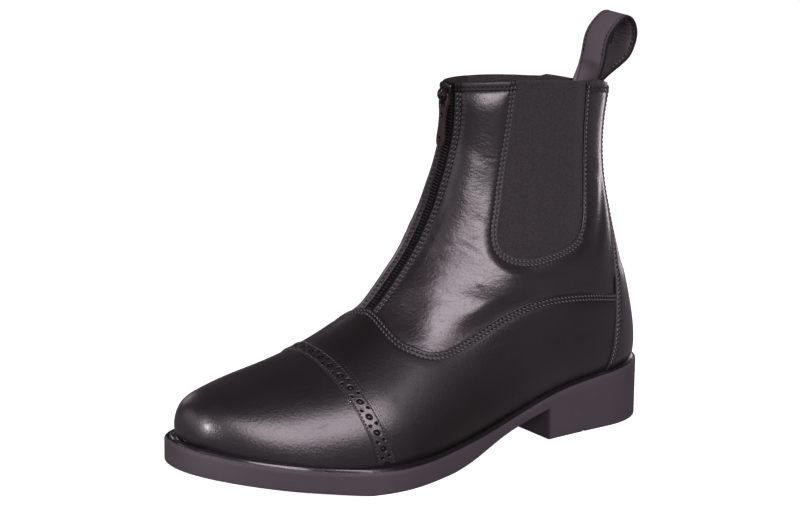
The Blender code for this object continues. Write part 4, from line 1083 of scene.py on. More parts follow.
# The holes' pits are painted black and without shine: painted shade for the dark inside a punched hole
add_piece("brogue_strip_leather", *body, strip_leather, "strip_leather", ["brogue_strip"],
          pit=np.tile(np.clip(PIT_PAINTED_SHADE * pit.ravel() / RING_PIT, 0, 1), 2))
rows = []
for index in STRIP_STITCH_LINES:
    line = row[index], angle[index]
    rows.append(sewn_row(on_last(*line, STRIP_FACE - STRIP_STITCH_SINK), last_normal(*line), *STRIP_STITCH))
behind = row[-1] + BEHIND_STRIP, angle[-1]
rows.append(sewn_row(on_last(*behind, VAMP_FACE), last_normal(*behind), *STRIP_STITCH))
add_piece("strip_stitches", *joined(rows), dark_thread, "strip_leather")


# Heel counter: a stiff leather piece over the heel that narrows upwards into the strip over the back seam.
# It laps over vamp and quarters and is sewn along both edges with a double row, the first in paler thread.
COUNTER_TOP = 182.6
COUNTER_STEP_UP = 88.0
COUNTER_STEP_RUN = 8.0
COUNTER_THICK = 1.2
COUNTER_FACE = 0.72
COUNTER_ROUND = 0.45
COUNTER_ROWS = (1.4, 3.4)
COUNTER_OVER_VAMP = 0.7
COUNTER_FOOT_ALONG = 35.0
COUNTER_FOOT_CLEAR = 0.6
COUNTER_LOW_ROW = 10.5
COUNTER_WORN = (0.7, 1.8)
COUNTER_STITCH_SINK = 0.1
COUNTER_STITCHED = slice(3, -2)
COUNTER_GRID = (150, 101)
COUNTER_EDGE = ((30, 35), (48, 35), (62, 33), (79, 29.3), (95, 25.8), (112, 24), (130, 25), (148, 26.4),
                (166, 25.6), (185, 22.6))

counter_front = smooth_curve(*np.array(COUNTER_EDGE, float).T)
back_rows = np.linspace(COUNTER_LOW_ROW, COLLAR_ROW, 400)
turn = np.sin(np.linspace(-0.5, 0.5, COUNTER_GRID[1]) * np.pi)[None, :]
climb = np.linspace(0, 1, COUNTER_GRID[0])[:, None]
low = side_top(COUNTER_FOOT_ALONG * turn ** 2) + WELT_RISE + COUNTER_FOOT_CLEAR
up = low + (COUNTER_TOP - low) * climb
back = np.interp(up, section_curves[3](back_rows), section_curves[2](back_rows))
along = back + (counter_front(up) - back) * turn ** 2
row, angle = last_spot(along, up)
angle = np.where(turn < 0, -1, 1) * angle
angle[:, COUNTER_GRID[1] // 2] = np.pi
over_vamp = smooth_step(-up, -COUNTER_STEP_UP, COUNTER_STEP_RUN - COUNTER_STEP_UP)
face = COUNTER_FACE + COUNTER_OVER_VAMP * over_vamp
points = on_last(row, angle, face)
edges = [points[:, 0], points[:, -1]]
flat_points = points.reshape(-1, 3)
to_edge = np.minimum(*[nearest(flat_points, line) for line in edges]).reshape(row.shape)
to_top = nearest(flat_points, points[-1]).reshape(row.shape)
lift = face - edge_drop(np.minimum(to_edge, to_top), COUNTER_ROUND)
lift = lift - sum(trough(to_edge, at) for at in COUNTER_ROWS)
counter_leather = grained_leather("counter_leather", (0.0105, 0.0085, 0.01), (0.0185, 0.015, 0.0175),
                                  rough=0.33, gloss=0.35, grain=1.1, depth=0.09, lines=0.4)
quads = grid_quads(*row.shape)
body = laid_body(row.ravel(), angle.ravel(), quads, lift.ravel(), (face - COUNTER_THICK).ravel())
worn_edge = 1 - smooth_step(to_edge, *COUNTER_WORN)
add_piece("heel_counter_leather", *body, counter_leather, "counter_leather", ["heel_counter"],
          rim=np.tile(worn_edge.ravel(), 2))
names = ("counter_edge_stitches", "counter_stitches")
for at, name, thread in zip(COUNTER_ROWS, names, (waxed_thread, dark_thread)):
    rows = []
    for column in (0, -1):
        line = row[COUNTER_STITCHED, column], np.abs(angle[COUNTER_STITCHED, column])
        seat = face[COUNTER_STITCHED, column] - COUNTER_STITCH_SINK
        sewn_at, turned = beside(line, -at)
        turned = np.sign(angle[0, column]) * turned
        rows.append(sewn_row(on_last(sewn_at, turned, seat), last_normal(sewn_at, turned)))
    add_piece(name, *joined(rows), thread, "counter_leather")


# Zip: woven tape sewn under the quarters' front edges, with two rows of moulded teeth that meet midway.
# It is closed from the throat of the vamp up to the slider at the collar.
TAPE_TOP = -1.55
TAPE_BACK = -2.3
TAPE_HALF = 6.4
TAPE_SINK = 0.35
TAPE_SINK_RUN = (4.0, 5.2)
TAPE_RIB = 1.6
TAPE_RIB_RISE = 0.12
TAPE_TWILL = 6.0
TAPE_GRID = (200, 33)
TOOTH_PITCH = 1.7
TOOTH_HALF = 2.4
TOOTH_TOP = -0.1
TOOTH_LENGTH = 0.8
TOOTH_START = 1.0
ZIP_BOTTOM_ROW = 7.55
ZIP_TOP_ROW = 18.9

zip_row = np.linspace(ZIP_BOTTOM_ROW, ZIP_TOP_ROW, TAPE_GRID[0])[:, None]
across = np.linspace(-TAPE_HALF, TAPE_HALF, TAPE_GRID[1])[None, :]
angle = np.sign(across + zip_middle(zip_row)) * zip_angle(zip_row, across + zip_middle(zip_row))
sunk = -TAPE_SINK * smooth_step(np.abs(across), *TAPE_SINK_RUN)
row = np.broadcast_to(zip_row, angle.shape)
top = np.broadcast_to(TAPE_TOP + sunk + TAPE_RIB_RISE * np.cos(across * 2 * np.pi / TAPE_RIB), angle.shape)
zip_tape, shader, spot = new_finish("zip_tape", Specular_IOR_Level=0.25)
weave = spot.node("ShaderNodeTexWave", {"Vector": spot, "Scale": 1000 / TAPE_TWILL, "Distortion": 0.0},
                  output="Fac", bands_direction="DIAGONAL")
fuzz = spot.noise(0.6, 2.0)
wire_up(shader, spot, 0.6 * weave + 0.4 * fuzz, 0.1,
        Base_Color=(0.5 * weave + 0.5 * fuzz).mix((0.005, 0.0047, 0.005, 1), (0.013, 0.012, 0.0128, 1)),
        Roughness=0.72 + 0.2 * fuzz)
quads = grid_quads(*row.shape)
body = laid_body(row.ravel(), angle.ravel(), quads, top.ravel(), np.full(row.size, TAPE_BACK))
add_piece("zip_tape_weave", *body, zip_tape, "zip_black", ["zip_teeth"])

front = np.linspace(ZIP_BOTTOM_ROW, ZIP_TOP_ROW, 1200)


def zip_spot(row):
    """Row and angle of the zip's middle line."""
    return row, np.sign(zip_middle(row)) * zip_angle(row, zip_middle(row))


run = run_length(last_point(*zip_spot(front)))
count = int((run[-1] - 2 * TOOTH_START) / TOOTH_PITCH)


def tooth_row(side):
    """One side's teeth: blocks of four rings from root to head, rounded on top, at even steps up the zip."""
    at = np.interp(TOOTH_START + TOOTH_PITCH * np.arange(count), run, front)
    here = on_last(*zip_spot(at), TAPE_TOP)
    out = last_normal(*zip_spot(at))
    climb = last_point(*zip_spot(at + 0.05)) - last_point(*zip_spot(at - 0.05))
    climb = climb / np.linalg.norm(climb, axis=-1, keepdims=True)
    outwards = np.cross(out, climb)
    outwards = outwards * np.sign(outwards[:, 1:2])
    reach = np.array([TOOTH_HALF, 1.7, 0.8, 0.1])
    half = TOOTH_LENGTH / 2 * np.array([0.85, 0.95, 0.9, 0.7])
    high = (TOOTH_TOP - TAPE_TOP) * np.array([0.75, 1.0, 0.9, 0.55])
    outline = np.array([(-1, 0), (-1, 0.62), (-0.62, 1), (0.62, 1), (1, 0.62), (1, 0)])
    points = here[:, None, None, :] + side * reach[None, :, None, None] * outwards[:, None, None, :]
    points = points + (half[:, None] * outline[None, :, 0])[None, :, :, None] * climb[:, None, None, :]
    points = points + (high[:, None] * outline[None, :, 1])[None, :, :, None] * out[:, None, None, :]
    quads = grid_quads(4, 6, wrap=True)
    cap = np.array([[0, 1, 2, 3], [3, 4, 5, 0]])
    one = np.concatenate([quads, cap[:, ::-1], cap + 18])
    return points.reshape(-1, 3), (one[None] + 24 * np.arange(count)[:, None, None]).reshape(-1, 4)


tooth_plastic, shader, spot = new_finish("tooth_plastic", Specular_IOR_Level=0.5)
patch = spot.noise(3.0)
wire_up(shader, spot, spot.noise(0.5), 0.03,
        Base_Color=patch.mix((0.009, 0.0083, 0.009, 1), (0.02, 0.0185, 0.02, 1)),
        Roughness=0.26 + 0.16 * patch)
add_piece("zip_teeth_rows", *joined([tooth_row(1), tooth_row(-1)]), tooth_plastic, "zip_black", sharp=40)


# Slider and pull tab: die-cast metal, enamelled nearly black, near the top of the zip.
# The slider runs over the teeth; an arched bridge on it holds the tab, which swings on it.
SLIDER_ROW = 18.05
SLIDER_LOW = 0.2
SLIDER_THICK = 2.0
SLIDER_OUTLINE = ((2.6, -6.2), (3.4, -4.8), (3.6, -1.0), (4.6, 3.0), (4.4, 5.2), (2.8, 6.2))
BRIDGE_HALF = 1.4
BRIDGE_RISE = 2.7
BRIDGE_THICK = 1.2
BRIDGE_REACH = 3.4
BRIDGE_SQUARE = 0.6
BRIDGE_SIDES = 0.5
BRIDGE_PAST = 0.12
BRIDGE_SUNK = -0.5
BRIDGE_GRID = (33, 16)
SLIDER_POINTS = 72
TAB_SWING = 7.0
TAB_THICK = 1.5
TAB_BEVEL = 0.28
TAB_BEVEL_ANGLE = 50.0
TAB_SIDE_POINTS = 60
TAB_OUTLINE = ((-1.0, 3.2), (1.0, 3.5), (6.0, 3.5), (9.0, 2.8), (13.0, 2.4), (20.0, 2.7), (25.0, 2.9),
               (27.2, 2.4))
TAB_EYE = (1.0, 6.6, 2.1)
TAB_HOLES = (11.0, 23.6)
TAB_EYE_SQUARE = 0.35
TAB_HOLE_RADIUS = 1.2
TAB_HOLE_POINTS = 24

# Slider plate's rings from below to the middle of its top: height, share of the outline
SLIDER_RINGS = ((0.0, 0.0), (0.0, 0.94), (0.25, 1.0), (1.2, 1.0), (1.65, 0.97), (1.9, 0.91), (2.0, 0.82),
                (2.0, 0.4), (2.0, 0.0))

climb_way = last_point(SLIDER_ROW + 0.3, 0.0) - last_point(SLIDER_ROW - 0.3, 0.0)
climb_way = climb_way / np.linalg.norm(climb_way)
out_way = np.array([climb_way[2], 0.0, -climb_way[0]])
slider_spot = last_point(SLIDER_ROW, 0.0)
hinge_lift = SLIDER_LOW + SLIDER_THICK + BRIDGE_RISE / 2


def on_slider(across, climb_by, lift):
    """Boot point from across, distance up the zip and lift off the leather, at the slider."""
    across, climb_by, lift = np.broadcast_arrays(across, climb_by, lift)
    return (slider_spot + across[..., None] * np.array([0.0, 1.0, 0.0]) + climb_by[..., None] * climb_way
            + lift[..., None] * out_way)


def on_tab(across, down, lift):
    """Boot point from across, distance below the hinge and lift off the middle of the tab, swung out."""
    swing = np.radians(TAB_SWING)
    return on_slider(across, np.sin(swing) * lift - np.cos(swing) * down,
                     hinge_lift + np.sin(swing) * down + np.cos(swing) * lift)


def plate_outline(table, count):
    """Closed outline through half a table and its mirror image, with each corner eased."""
    half = np.array(table, float)
    loop = np.concatenate([half, half[::-1] * (-1, 1)])
    loop = np.concatenate([loop[-3:], loop, loop[:4]])
    return smooth_line(loop, np.linspace(3, len(loop) - 4, count + 1))[:-1]


def squared(wave, power):
    """Sine or cosine drawn out towards a square one: its size to a power below 1, its sign kept."""
    return np.sign(wave) * np.abs(wave) ** power


outline = plate_outline(SLIDER_OUTLINE, SLIDER_POINTS)
rings = np.stack([on_slider(outline[:, 0] * share, outline[:, 1] * share, SLIDER_LOW + high)
                  for high, share in SLIDER_RINGS])
plate = rings.reshape(-1, 3), grid_quads(len(SLIDER_RINGS), SLIDER_POINTS, wrap=True)
turn = np.linspace(-BRIDGE_PAST, np.pi + BRIDGE_PAST, BRIDGE_GRID[0])
path = np.stack([np.cos(turn) * (BRIDGE_REACH - BRIDGE_THICK / 2),
                 squared(np.sin(turn), BRIDGE_SQUARE) * (BRIDGE_RISE + BRIDGE_THICK / 2)], -1)
path[:, 1] = np.maximum(path[:, 1], BRIDGE_SUNK)
heading = np.gradient(path, axis=0)
heading = heading / np.linalg.norm(heading, axis=1, keepdims=True)
round_way = np.arange(BRIDGE_GRID[1]) * 2 * np.pi / BRIDGE_GRID[1]
wide = BRIDGE_HALF * squared(np.cos(round_way), BRIDGE_SIDES)
thick = BRIDGE_THICK / 2 * squared(np.sin(round_way), BRIDGE_SIDES)
bridge = on_slider(wide[None, :], path[:, :1] - heading[:, 1:] * thick[None, :],
                   SLIDER_LOW + SLIDER_THICK + path[:, 1:] + heading[:, :1] * thick[None, :])
ends = np.stack([bridge[0].mean(axis=0), bridge[-1].mean(axis=0)])
ends = np.repeat(ends[:, None], BRIDGE_GRID[1], 1)
bridge = np.concatenate([ends[:1], bridge, ends[1:]])
bridge = bridge.reshape(-1, 3), grid_quads(BRIDGE_GRID[0] + 2, BRIDGE_GRID[1], wrap=True)


def enamelled(name, dark, light):
    """Enamelled metal: specks of wear let more metal through and take the gloss off."""
    material, shader, spot = new_finish(name, Coat_Roughness=0.12, Coat_IOR=1.5)
    wear = spot.noise(1.6, 4.0).step(0.5, 0.75)
    wire_up(shader, spot, spot.noise(0.8, 3.0), 0.03, Base_Color=wear.mix((*dark, 1), (*light, 1)),
            Roughness=0.24 + 0.18 * wear, Metallic=0.35 + 0.4 * wear, Coat_Weight=0.5 - 0.3 * wear)
    return material


slider_enamel = enamelled("slider_enamel", (0.008, 0.007, 0.0075), (0.04, 0.035, 0.036))
add_piece("zip_slider_metal", *joined([plate, bridge]), slider_enamel, "dark_metal", ["zip_slider"], sharp=60)

table = np.array(TAB_OUTLINE)[:, ::-1]
sides = smooth_line(table, np.linspace(0, len(table) - 1, TAB_SIDE_POINTS))
tab_loop = np.concatenate([sides, sides[::-1] * (-1, 1)])
round_way = np.arange(TAB_HOLE_POINTS) * 2 * np.pi / TAB_HOLE_POINTS
circle = np.stack([np.cos(round_way), np.sin(round_way)], -1)
eye_top, eye_bottom, eye_half = TAB_EYE
eye = squared(circle, TAB_EYE_SQUARE) * (eye_half, (eye_bottom - eye_top) / 2)
holes = [eye + (0.0, (eye_top + eye_bottom) / 2)]
holes += [TAB_HOLE_RADIUS * circle + (0.0, centre) for centre in TAB_HOLES]
mesh = bpy.data.meshes.new("zip_pull_tab_metal")
shape = bmesh.new()
for loop in [tab_loop] + holes:
    corners = [shape.verts.new(spot_at) for spot_at in place(on_tab(loop[:, 0], loop[:, 1], -TAB_THICK / 2))]
    for first, second in zip(corners, corners[1:] + corners[:1]):
        shape.edges.new((first, second))
bmesh.ops.triangle_fill(shape, use_beauty=True, edges=shape.edges)
bmesh.ops.recalc_face_normals(shape, faces=shape.faces)
shape.to_mesh(mesh)
shape.free()
mesh.materials.append(enamelled("tab_enamel", (0.035, 0.018, 0.017), (0.09, 0.05, 0.046)))
tab = bpy.data.objects.new("zip_pull_tab_metal", mesh)
bpy.context.scene.collection.objects.link(tab)
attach(tab, "zip_pull")
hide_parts("zip_pull_tab")
wall = tab.modifiers.new("thickness", "SOLIDIFY")
wall.thickness = TAB_THICK / 1000
wall.offset = 1.0
wall.use_even_offset = True
rim = tab.modifiers.new("rounded_rim", "BEVEL")
rim.width = TAB_BEVEL / 1000
rim.segments = 2
rim.limit_method = "ANGLE"
rim.angle_limit = np.radians(TAB_BEVEL_ANGLE)


# Pull loop: a flat leather strap folded over on itself, both ends sewn inside the back of the collar.
# It is two layers stitched along both edges; the inner face has wrinkled in the bend.
STRAP_HALF = 9.75
STRAP_THICK = 2.0
STRAP_BOW = 5.4
STRAP_FLAT_UP = 196.0
STRAP_BOW_RUN = 12.0
STRAP_SEAM = 1.9
STRAP_SEAM_DEPTH = 0.22
STRAP_SEAM_WIDTH = 0.8
STRAP_SWELL = 1.2
STRAP_SWELL_RUN = (2.2, 4.0)
STRAP_SKEW = 1.3
STRAP_SKEW_RUN = (-20, -6)
STRAP_LOOSE = (196, 204)
STRAP_SIDES = (0.16, 0.3)
STRAP_STITCH_SINK = 0.12
STRAP_STITCHED = slice(50, 160)
STRAP_GRID = (200, 96)
STRAP_PATH = ((33.9, 170), (33, 177), (31.2, 184), (27.9, 191), (25.6, 198), (24.3, 204.5), (21.9, 211),
              (16.2, 216.8), (9.8, 219.4), (5, 216.8), (2.8, 210.3), (4.4, 203.2), (8.8, 198), (15.1, 194),
              (21.8, 190.4), (27.4, 186.2), (30.3, 179.5), (31.4, 170))

# Wrinkles of the inner face: radians a millimetre along the strap, coarse and fine, and how they waver
WRINKLE_DEPTH = 0.2
WRINKLE_COARSE = 2.9
WRINKLE_FINE = 4.7
FINE_SHARE = 0.6
FINE_LEAN = 0.35
WAVER_ACROSS = (1.3, 0.5)
WAVER_ALONG = (0.6, 0.9)

# Painted shade on the strap: darker at its cut edge, which also has edge paint, in the grooves of its seams
# and over its inner face, where the loop shades itself; and how far from the edge
EDGE_SHADE = 0.8
SEAM_SHADE = 0.5
SHADE_WIDTH = 0.5
INNER_SHADE = 0.4
INNER_SHADE_FROM = 0.4

knots = np.arange(len(STRAP_PATH))
fine = np.linspace(0, len(STRAP_PATH) - 1, STRAP_GRID[0])
middle = np.stack([smooth_curve(knots, column)(fine) for column in np.array(STRAP_PATH, float).T], -1)
heading = np.gradient(middle, axis=0)
heading = heading / np.linalg.norm(heading, axis=1, keepdims=True)
normal = np.stack([heading[:, 1], -heading[:, 0]], -1)
round_way = np.linspace(0, 2 * np.pi, STRAP_GRID[1] + 1)[:-1]
flat = squared(np.cos(round_way), STRAP_SIDES[0]) * STRAP_HALF
face = squared(np.sin(round_way), STRAP_SIDES[1])
from_edge = STRAP_HALF - np.abs(flat)
run = run_length(middle)[:, None]
loose = smooth_step(middle[:, 1], *STRAP_LOOSE)[:, None]
waver = WAVER_ACROSS[0] * np.sin(flat * WAVER_ACROSS[1]) + WAVER_ALONG[0] * np.sin(run * WAVER_ALONG[1])
wrinkle = np.sin(run * WRINKLE_COARSE + waver) + FINE_SHARE * np.sin(run * WRINKLE_FINE + flat * FINE_LEAN)
inside = (face < 0)[None, :] * smooth_step(from_edge, *STRAP_SWELL_RUN)[None, :]
groove = STRAP_SEAM_DEPTH * np.exp(-((from_edge - STRAP_SEAM) / STRAP_SEAM_WIDTH) ** 2)
thick = STRAP_THICK / 2 * face[None, :] - np.sign(face)[None, :] * groove
thick = thick - (STRAP_SWELL + WRINKLE_DEPTH * wrinkle) * inside * loose
low = np.clip((STRAP_FLAT_UP - middle[:, 1]) / STRAP_BOW_RUN, 0, 1)[:, None]
bow = -STRAP_BOW * low * (1 - (flat[None, :] / STRAP_HALF) ** 2)
skew = (STRAP_SKEW * (smooth_step(-middle[:, 0], *STRAP_SKEW_RUN) * loose[:, 0]))[:, None]
strap = np.stack(np.broadcast_arrays(middle[:, :1] + normal[:, :1] * thick + bow, flat[None, :] - skew,
                                     middle[:, 1:] + normal[:, 1:] * thick), -1)
caps = [np.repeat(strap[k].mean(axis=0)[None], STRAP_GRID[1], 0)[None] for k in (0, -1)]
# The strap's base colour is many times paler than the other black leathers: partly its matt grey grain,
# partly painted light for the extra light falling on the loop
strap_leather = grained_leather("strap_leather", (0.096, 0.0846, 0.0944), (0.151, 0.1327, 0.1478),
                                rough=0.5, gloss=0.1, grain=0.8, depth=0.08, lines=0.4)
points = np.concatenate([caps[0], strap, caps[1]]).reshape(-1, 3)
# Painted shade: the strap is darkened at its edge, in its seam grooves and on its inner face
shade = np.maximum(EDGE_SHADE * np.exp(-(from_edge / SHADE_WIDTH) ** 2),
                   SEAM_SHADE * np.exp(-((from_edge - STRAP_SEAM) / SHADE_WIDTH) ** 2))
shade = np.maximum(shade, INNER_SHADE * ((face < 0) & (from_edge > INNER_SHADE_FROM)))
strap_rings = STRAP_GRID[0] + 2
add_piece("pull_loop_strap", points, grid_quads(strap_rings, STRAP_GRID[1], wrap=True), strap_leather,
          "strap_leather", ["pull_loop"], pit=np.tile(shade, strap_rings))
rows = []
for edge in (STRAP_HALF - STRAP_SEAM, STRAP_SEAM - STRAP_HALF):
    for out in (1, -1):
        line = middle + normal * out * (STRAP_THICK / 2 - STRAP_STITCH_SINK)
        path = np.stack([line[:, 0], edge - skew[:, 0], line[:, 1]], -1)
        away = np.stack([normal[:, 0] * out, np.zeros(len(line)), normal[:, 1] * out], -1)
        rows.append(sewn_row(path[STRAP_STITCHED], away[STRAP_STITCHED]))
add_piece("loop_stitches", *joined(rows), dark_thread, "strap_leather")


# Outsole: one moulded rubber unit with heel block, arched waist, sprung toe and a welt bead round its top.
# It is glued under the upper; a wheel has pressed fine marks along the bead, and the tread is cut in bars.
HEEL_LENGTH = 74.5
HEEL_ROUND = 33.0
HEEL_POWER = 2.2
TOE_ROUND = 52.0
TOE_POWER = 2.1
FOOT_EDGE_ROUND = 0.9
TOP_EDGE_ROUND = 0.6
NOTCH_ALONG = 51.0
NOTCH_HALF = 0.85
NOTCH_HIGH = 0.8
NOTCH_SPREAD = 1.05
NOTCH_EASE = 0.1
TREAD_PITCH = 7.5
TREAD_GROOVE = 2.2
TREAD_DEPTH = 1.2
TREAD_EASE = (-0.3, 0.3)
TREAD_FORE = (138, 142, 262, 268)
TREAD_HEEL = (12, 15, 62, 66)
TREAD_INSIDE = (-0.86, -0.8)
WHEEL_PITCH = 1.5
WHEEL_RISE = 0.62
WHEEL_RADIUS = 0.42
WHEEL_SPAN = (0.04, 0.2)
WHEEL_START = 0.5
WHEEL_SHARES = (0.5, 1.0, 600)
WELT_INSET = 0.35
WELT_FORE = (55, 105)
WELT_BLACK = (0.2, 0.3)
SEAT_INSET = -6.0
SEAT_SINK = 0.3
SOLE_STATIONS = 340
BREAST_CLEAR = 0.003
BREAST_GAP = 0.0001
NOTCH_CLEAR = 0.006
WELT_RINGS = 31
CAP_COLUMNS = (41, 3)
SOLE_OUTLINE = ((0, 32, -0.3), (35, 32, -0.4), (70, 30.7, 1.1), (110, 32, 4.2), (150, 41.8, 5.4),
                (190, 51.6, 3.2), (225, 47.5, -1.2), (255, 44, -3.6), (288, 37.8, -6.9))
SOLE_UNDER = ((74.5, 17.4), (110, 9), (135, 1.9), (150, 0), (205, 0), (230, 4), (255, 9), (288, 14.5))

# Welt's section, sole's edge to upper: share of the way, rise over the sole's top at forefoot and at heel
WELT_SECTION = ((0.0, 0.1, 0.1), (0.07, 0.5, 0.45), (0.14, 0.62, 0.55), (0.19, 0.45, 0.5), (0.24, 0.35, 0.3),
                (0.3, 0.9, 0.35), (0.4, 1.8, 0.65), (0.52, 2.3, 0.95), (0.64, 2.15, 1.2), (0.73, 1.45, 1.4),
                (0.79, 1.15, 1.5), (0.85, 1.5, 1.6), (0.92, 1.9, 1.8), (1.0, 1.7, 1.8))

outline_along, *outline_columns = np.array(SOLE_OUTLINE, float).T
outline_half, outline_centre = [smooth_curve(outline_along, column) for column in outline_columns]
under_curve = smooth_curve(*np.array(SOLE_UNDER, float).T)
breast = HEEL_LENGTH / SOLE_LENGTH
notch = NOTCH_ALONG / SOLE_LENGTH
stations = (1 - np.cos(np.pi * np.linspace(0, 1, SOLE_STATIONS))) / 2
stations = stations[(np.abs(stations - breast) > BREAST_CLEAR) & (np.abs(stations - notch) > NOTCH_CLEAR)]
notch_stations = notch + np.array([-1.4, -1.0, -0.9, 0.0, 0.9, 1.0, 1.4]) * NOTCH_HALF / SOLE_LENGTH
stations = np.sort(np.concatenate([stations, [breast - BREAST_GAP, breast + BREAST_GAP], notch_stations]))


def sole_edge(share, side, inset):
    """Sole outline drawn in by inset: half width times rounded ends to either side of the centre line."""
    along = inset + (SOLE_LENGTH - 2 * inset) * share
    heel = rounded_end((along - inset) / HEEL_ROUND, HEEL_POWER)
    toe = rounded_end((SOLE_LENGTH - inset - along) / TOE_ROUND, TOE_POWER)
    return along, outline_centre(along) + side * (outline_half(along) - inset) * heel * toe


def under_height(share, along):
    """Height of the underside: flat at the heel, then arched waist, flat ball and sprung toe."""
    arched = np.maximum(under_curve(np.maximum(along, HEEL_LENGTH)), 0.0)
    return np.where(share < breast, 0.0, arched)


def notch_height(along):
    """Rise of the heel groove's mouth in the lower edge."""
    return NOTCH_HIGH * np.clip((NOTCH_HALF * NOTCH_SPREAD - np.abs(along - NOTCH_ALONG)) / NOTCH_EASE, 0, 1)


def sole_ring(point_at):
    """Closed ring: outer side from heel to toe, then the inner side back."""
    return np.concatenate([point_at(stations, 1), point_at(stations, -1)[-2:0:-1]])


def side_ring(inset, height):
    """Ring on the outline drawn in by inset, at a height that is a function of the place."""
    def point_at(share, side):
        along, across = sole_edge(share, side, inset)
        return np.stack([along, across, height(share, along)], -1)
    return sole_ring(point_at)


def low_ring(inset, rise):
    """Ring of the rounded lower edge: rise over the underside, and over the groove's mouth in the heel."""
    return side_ring(inset, lambda share, along: under_height(share, along)
                     + np.maximum(rise, notch_height(along)))


def wall_ring(share_up):
    """Ring of the upright side, at a share of the way from its lower to its upper rounding."""
    def height(share, along):
        low = under_height(share, along) + FOOT_EDGE_ROUND
        return low + (side_top(along) - TOP_EDGE_ROUND - low) * share_up
    return side_ring(0.0, height)


rings = []
for turn in np.linspace(0, np.pi / 2, 5):
    rings.append(low_ring(FOOT_EDGE_ROUND * (1 - np.sin(turn)), FOOT_EDGE_ROUND * (1 - np.cos(turn))))
rings += [wall_ring(share_up) for share_up in np.linspace(0, 1, 7)[1:]]
for turn in np.linspace(0, np.pi / 2, 4)[1:]:
    rings.append(side_ring(TOP_EDGE_ROUND * (1 - np.cos(turn)),
                           lambda share, along: side_top(along) - TOP_EDGE_ROUND * (1 - np.sin(turn))))
shoulder = rings[-1]
foot = sole_ring(lambda share, side: feather_point(share, side, VAMP_FACE + WELT_INSET))
section = np.array(WELT_SECTION)
fine_share = np.linspace(0, 1, WELT_RINGS)[1:]
fore_rise, heel_rise = [smooth_curve(section[:, 0], section[:, k])(fine_share) for k in (1, 2)]
for share, fore, heel in zip(fine_share, fore_rise, heel_rise):
    ring = shoulder + (foot - shoulder) * share
    weight = smooth_step(ring[:, 0], *WELT_FORE)
    ring[:, 2] = side_top(np.clip(ring[:, 0], 0, SOLE_LENGTH)) + heel + (fore - heel) * weight
    rings.append(ring)
welt_mark = np.concatenate([np.zeros(len(rings) - len(fine_share)), smooth_step(fine_share, *WELT_BLACK),
                            [1.0]])
seat = sole_ring(lambda share, side: feather_point(share, side, SEAT_INSET))
seat[:, 2] = side_top(np.clip(seat[:, 0], 0, SOLE_LENGTH)) + WELT_RISE - SEAT_SINK
rings.append(seat)
size = len(rings[0])
wall = np.concatenate(rings), grid_quads(len(rings), size, wrap=True)


def strip_cap(ring, columns, height):
    """Cap of a ring: straight lines from outer to inner side, and height added as a function of the place."""
    outer = ring[:len(stations)]
    inner = np.concatenate([ring[:1], ring[:len(stations) - 2:-1]])
    reach = np.linspace(0, 1, columns)[None, :, None]
    grid = outer[:, None] + (inner - outer)[:, None] * reach
    grid[..., 2] += height(grid, 2 * reach[..., 0] - 1)
    return grid.reshape(-1, 3), grid_quads(len(stations), columns)


def within(values, field):
    """1 between the second and third value of a field, eased to 0 at its first and fourth."""
    return smooth_step(values, field[0], field[1]) * smooth_step(-values, -field[3], -field[2])


def tread(grid, reach):
    """Tread grooves: bars across forefoot and heel at even steps, kept off the edge, with eased sides."""
    along = grid[..., 0]
    step = np.abs((along - NOTCH_ALONG + TREAD_PITCH / 2) % TREAD_PITCH - TREAD_PITCH / 2)
    bars = smooth_step(TREAD_GROOVE / 2 - step, *TREAD_EASE)
    field = within(along, TREAD_FORE) + within(along, TREAD_HEEL)
    field = smooth_step(-np.abs(reach), *TREAD_INSIDE) * field
    mouth = notch_height(along)
    return np.maximum(TREAD_DEPTH * bars * field, mouth) - mouth * (np.abs(reach) > 0.999)


sole_rubber, shader, spot = new_finish("sole_rubber", Specular_IOR_Level=0.42)
patch = spot.noise(24.0, 4.0)
fine = spot.noise(0.9, 3.0)
scuffs = spot.noise(4.0, 6.0, (1, 4, 1)).step(0.56, 0.74)
rubber = (0.7 * patch + 0.3 * scuffs).mix((0.042, 0.0362, 0.0412, 1), (0.062, 0.054, 0.0607, 1))
welt = spot.mark("welt")
wire_up(shader, spot, fine + 0.4 * spot.noise(3.5), 0.05,
        Base_Color=welt.mix(rubber, (0.009, 0.008, 0.009, 1)),
        Roughness=(0.5 + 0.12 * patch + 0.08 * scuffs) * (1 - 0.6 * welt), Coat_Weight=0.4 * welt)
caps = [strip_cap(rings[0], CAP_COLUMNS[0], tread),
        strip_cap(rings[-1], CAP_COLUMNS[1], lambda grid, reach: 0.0)]
cap_size = sum(len(points) for points, faces in caps)
add_piece("outsole_rubber", *joined([wall] + caps), sole_rubber, "sole_rubber", ["outsole"], sharp=38,
          welt=np.concatenate([np.repeat(welt_mark, size), np.zeros(cap_size)]))

edge_share = np.linspace(*WHEEL_SHARES)
wheel_line = []
for side in (1, -1):
    along, across = sole_edge(edge_share, side, TOP_EDGE_ROUND)
    outer = np.stack([along, across, side_top(along) + WHEEL_RISE], -1)
    inner = feather_point(edge_share, side, VAMP_FACE + WELT_INSET)
    inner[:, 2] = side_top(inner[:, 0]) + WHEEL_RISE
    wheel_line.append([outer + (inner - outer) * share for share in WHEEL_SPAN])
marks = []
for outer, inner in wheel_line:
    run = run_length(outer)
    at = np.arange(WHEEL_START, run[-1], WHEEL_PITCH)
    ends = [np.stack([np.interp(at, run, column) for column in line.T], -1) for line in (outer, inner)]
    marks.append(threads(ends[0], ends[1], np.broadcast_to([0.0, 0.0, 1.0], ends[0].shape), WHEEL_RADIUS))
wheel_points, wheel_faces = joined(marks)
add_piece("welt_wheel_marks", wheel_points, wheel_faces, sole_rubber, "sole_rubber",
          welt=np.ones(len(wheel_points)))


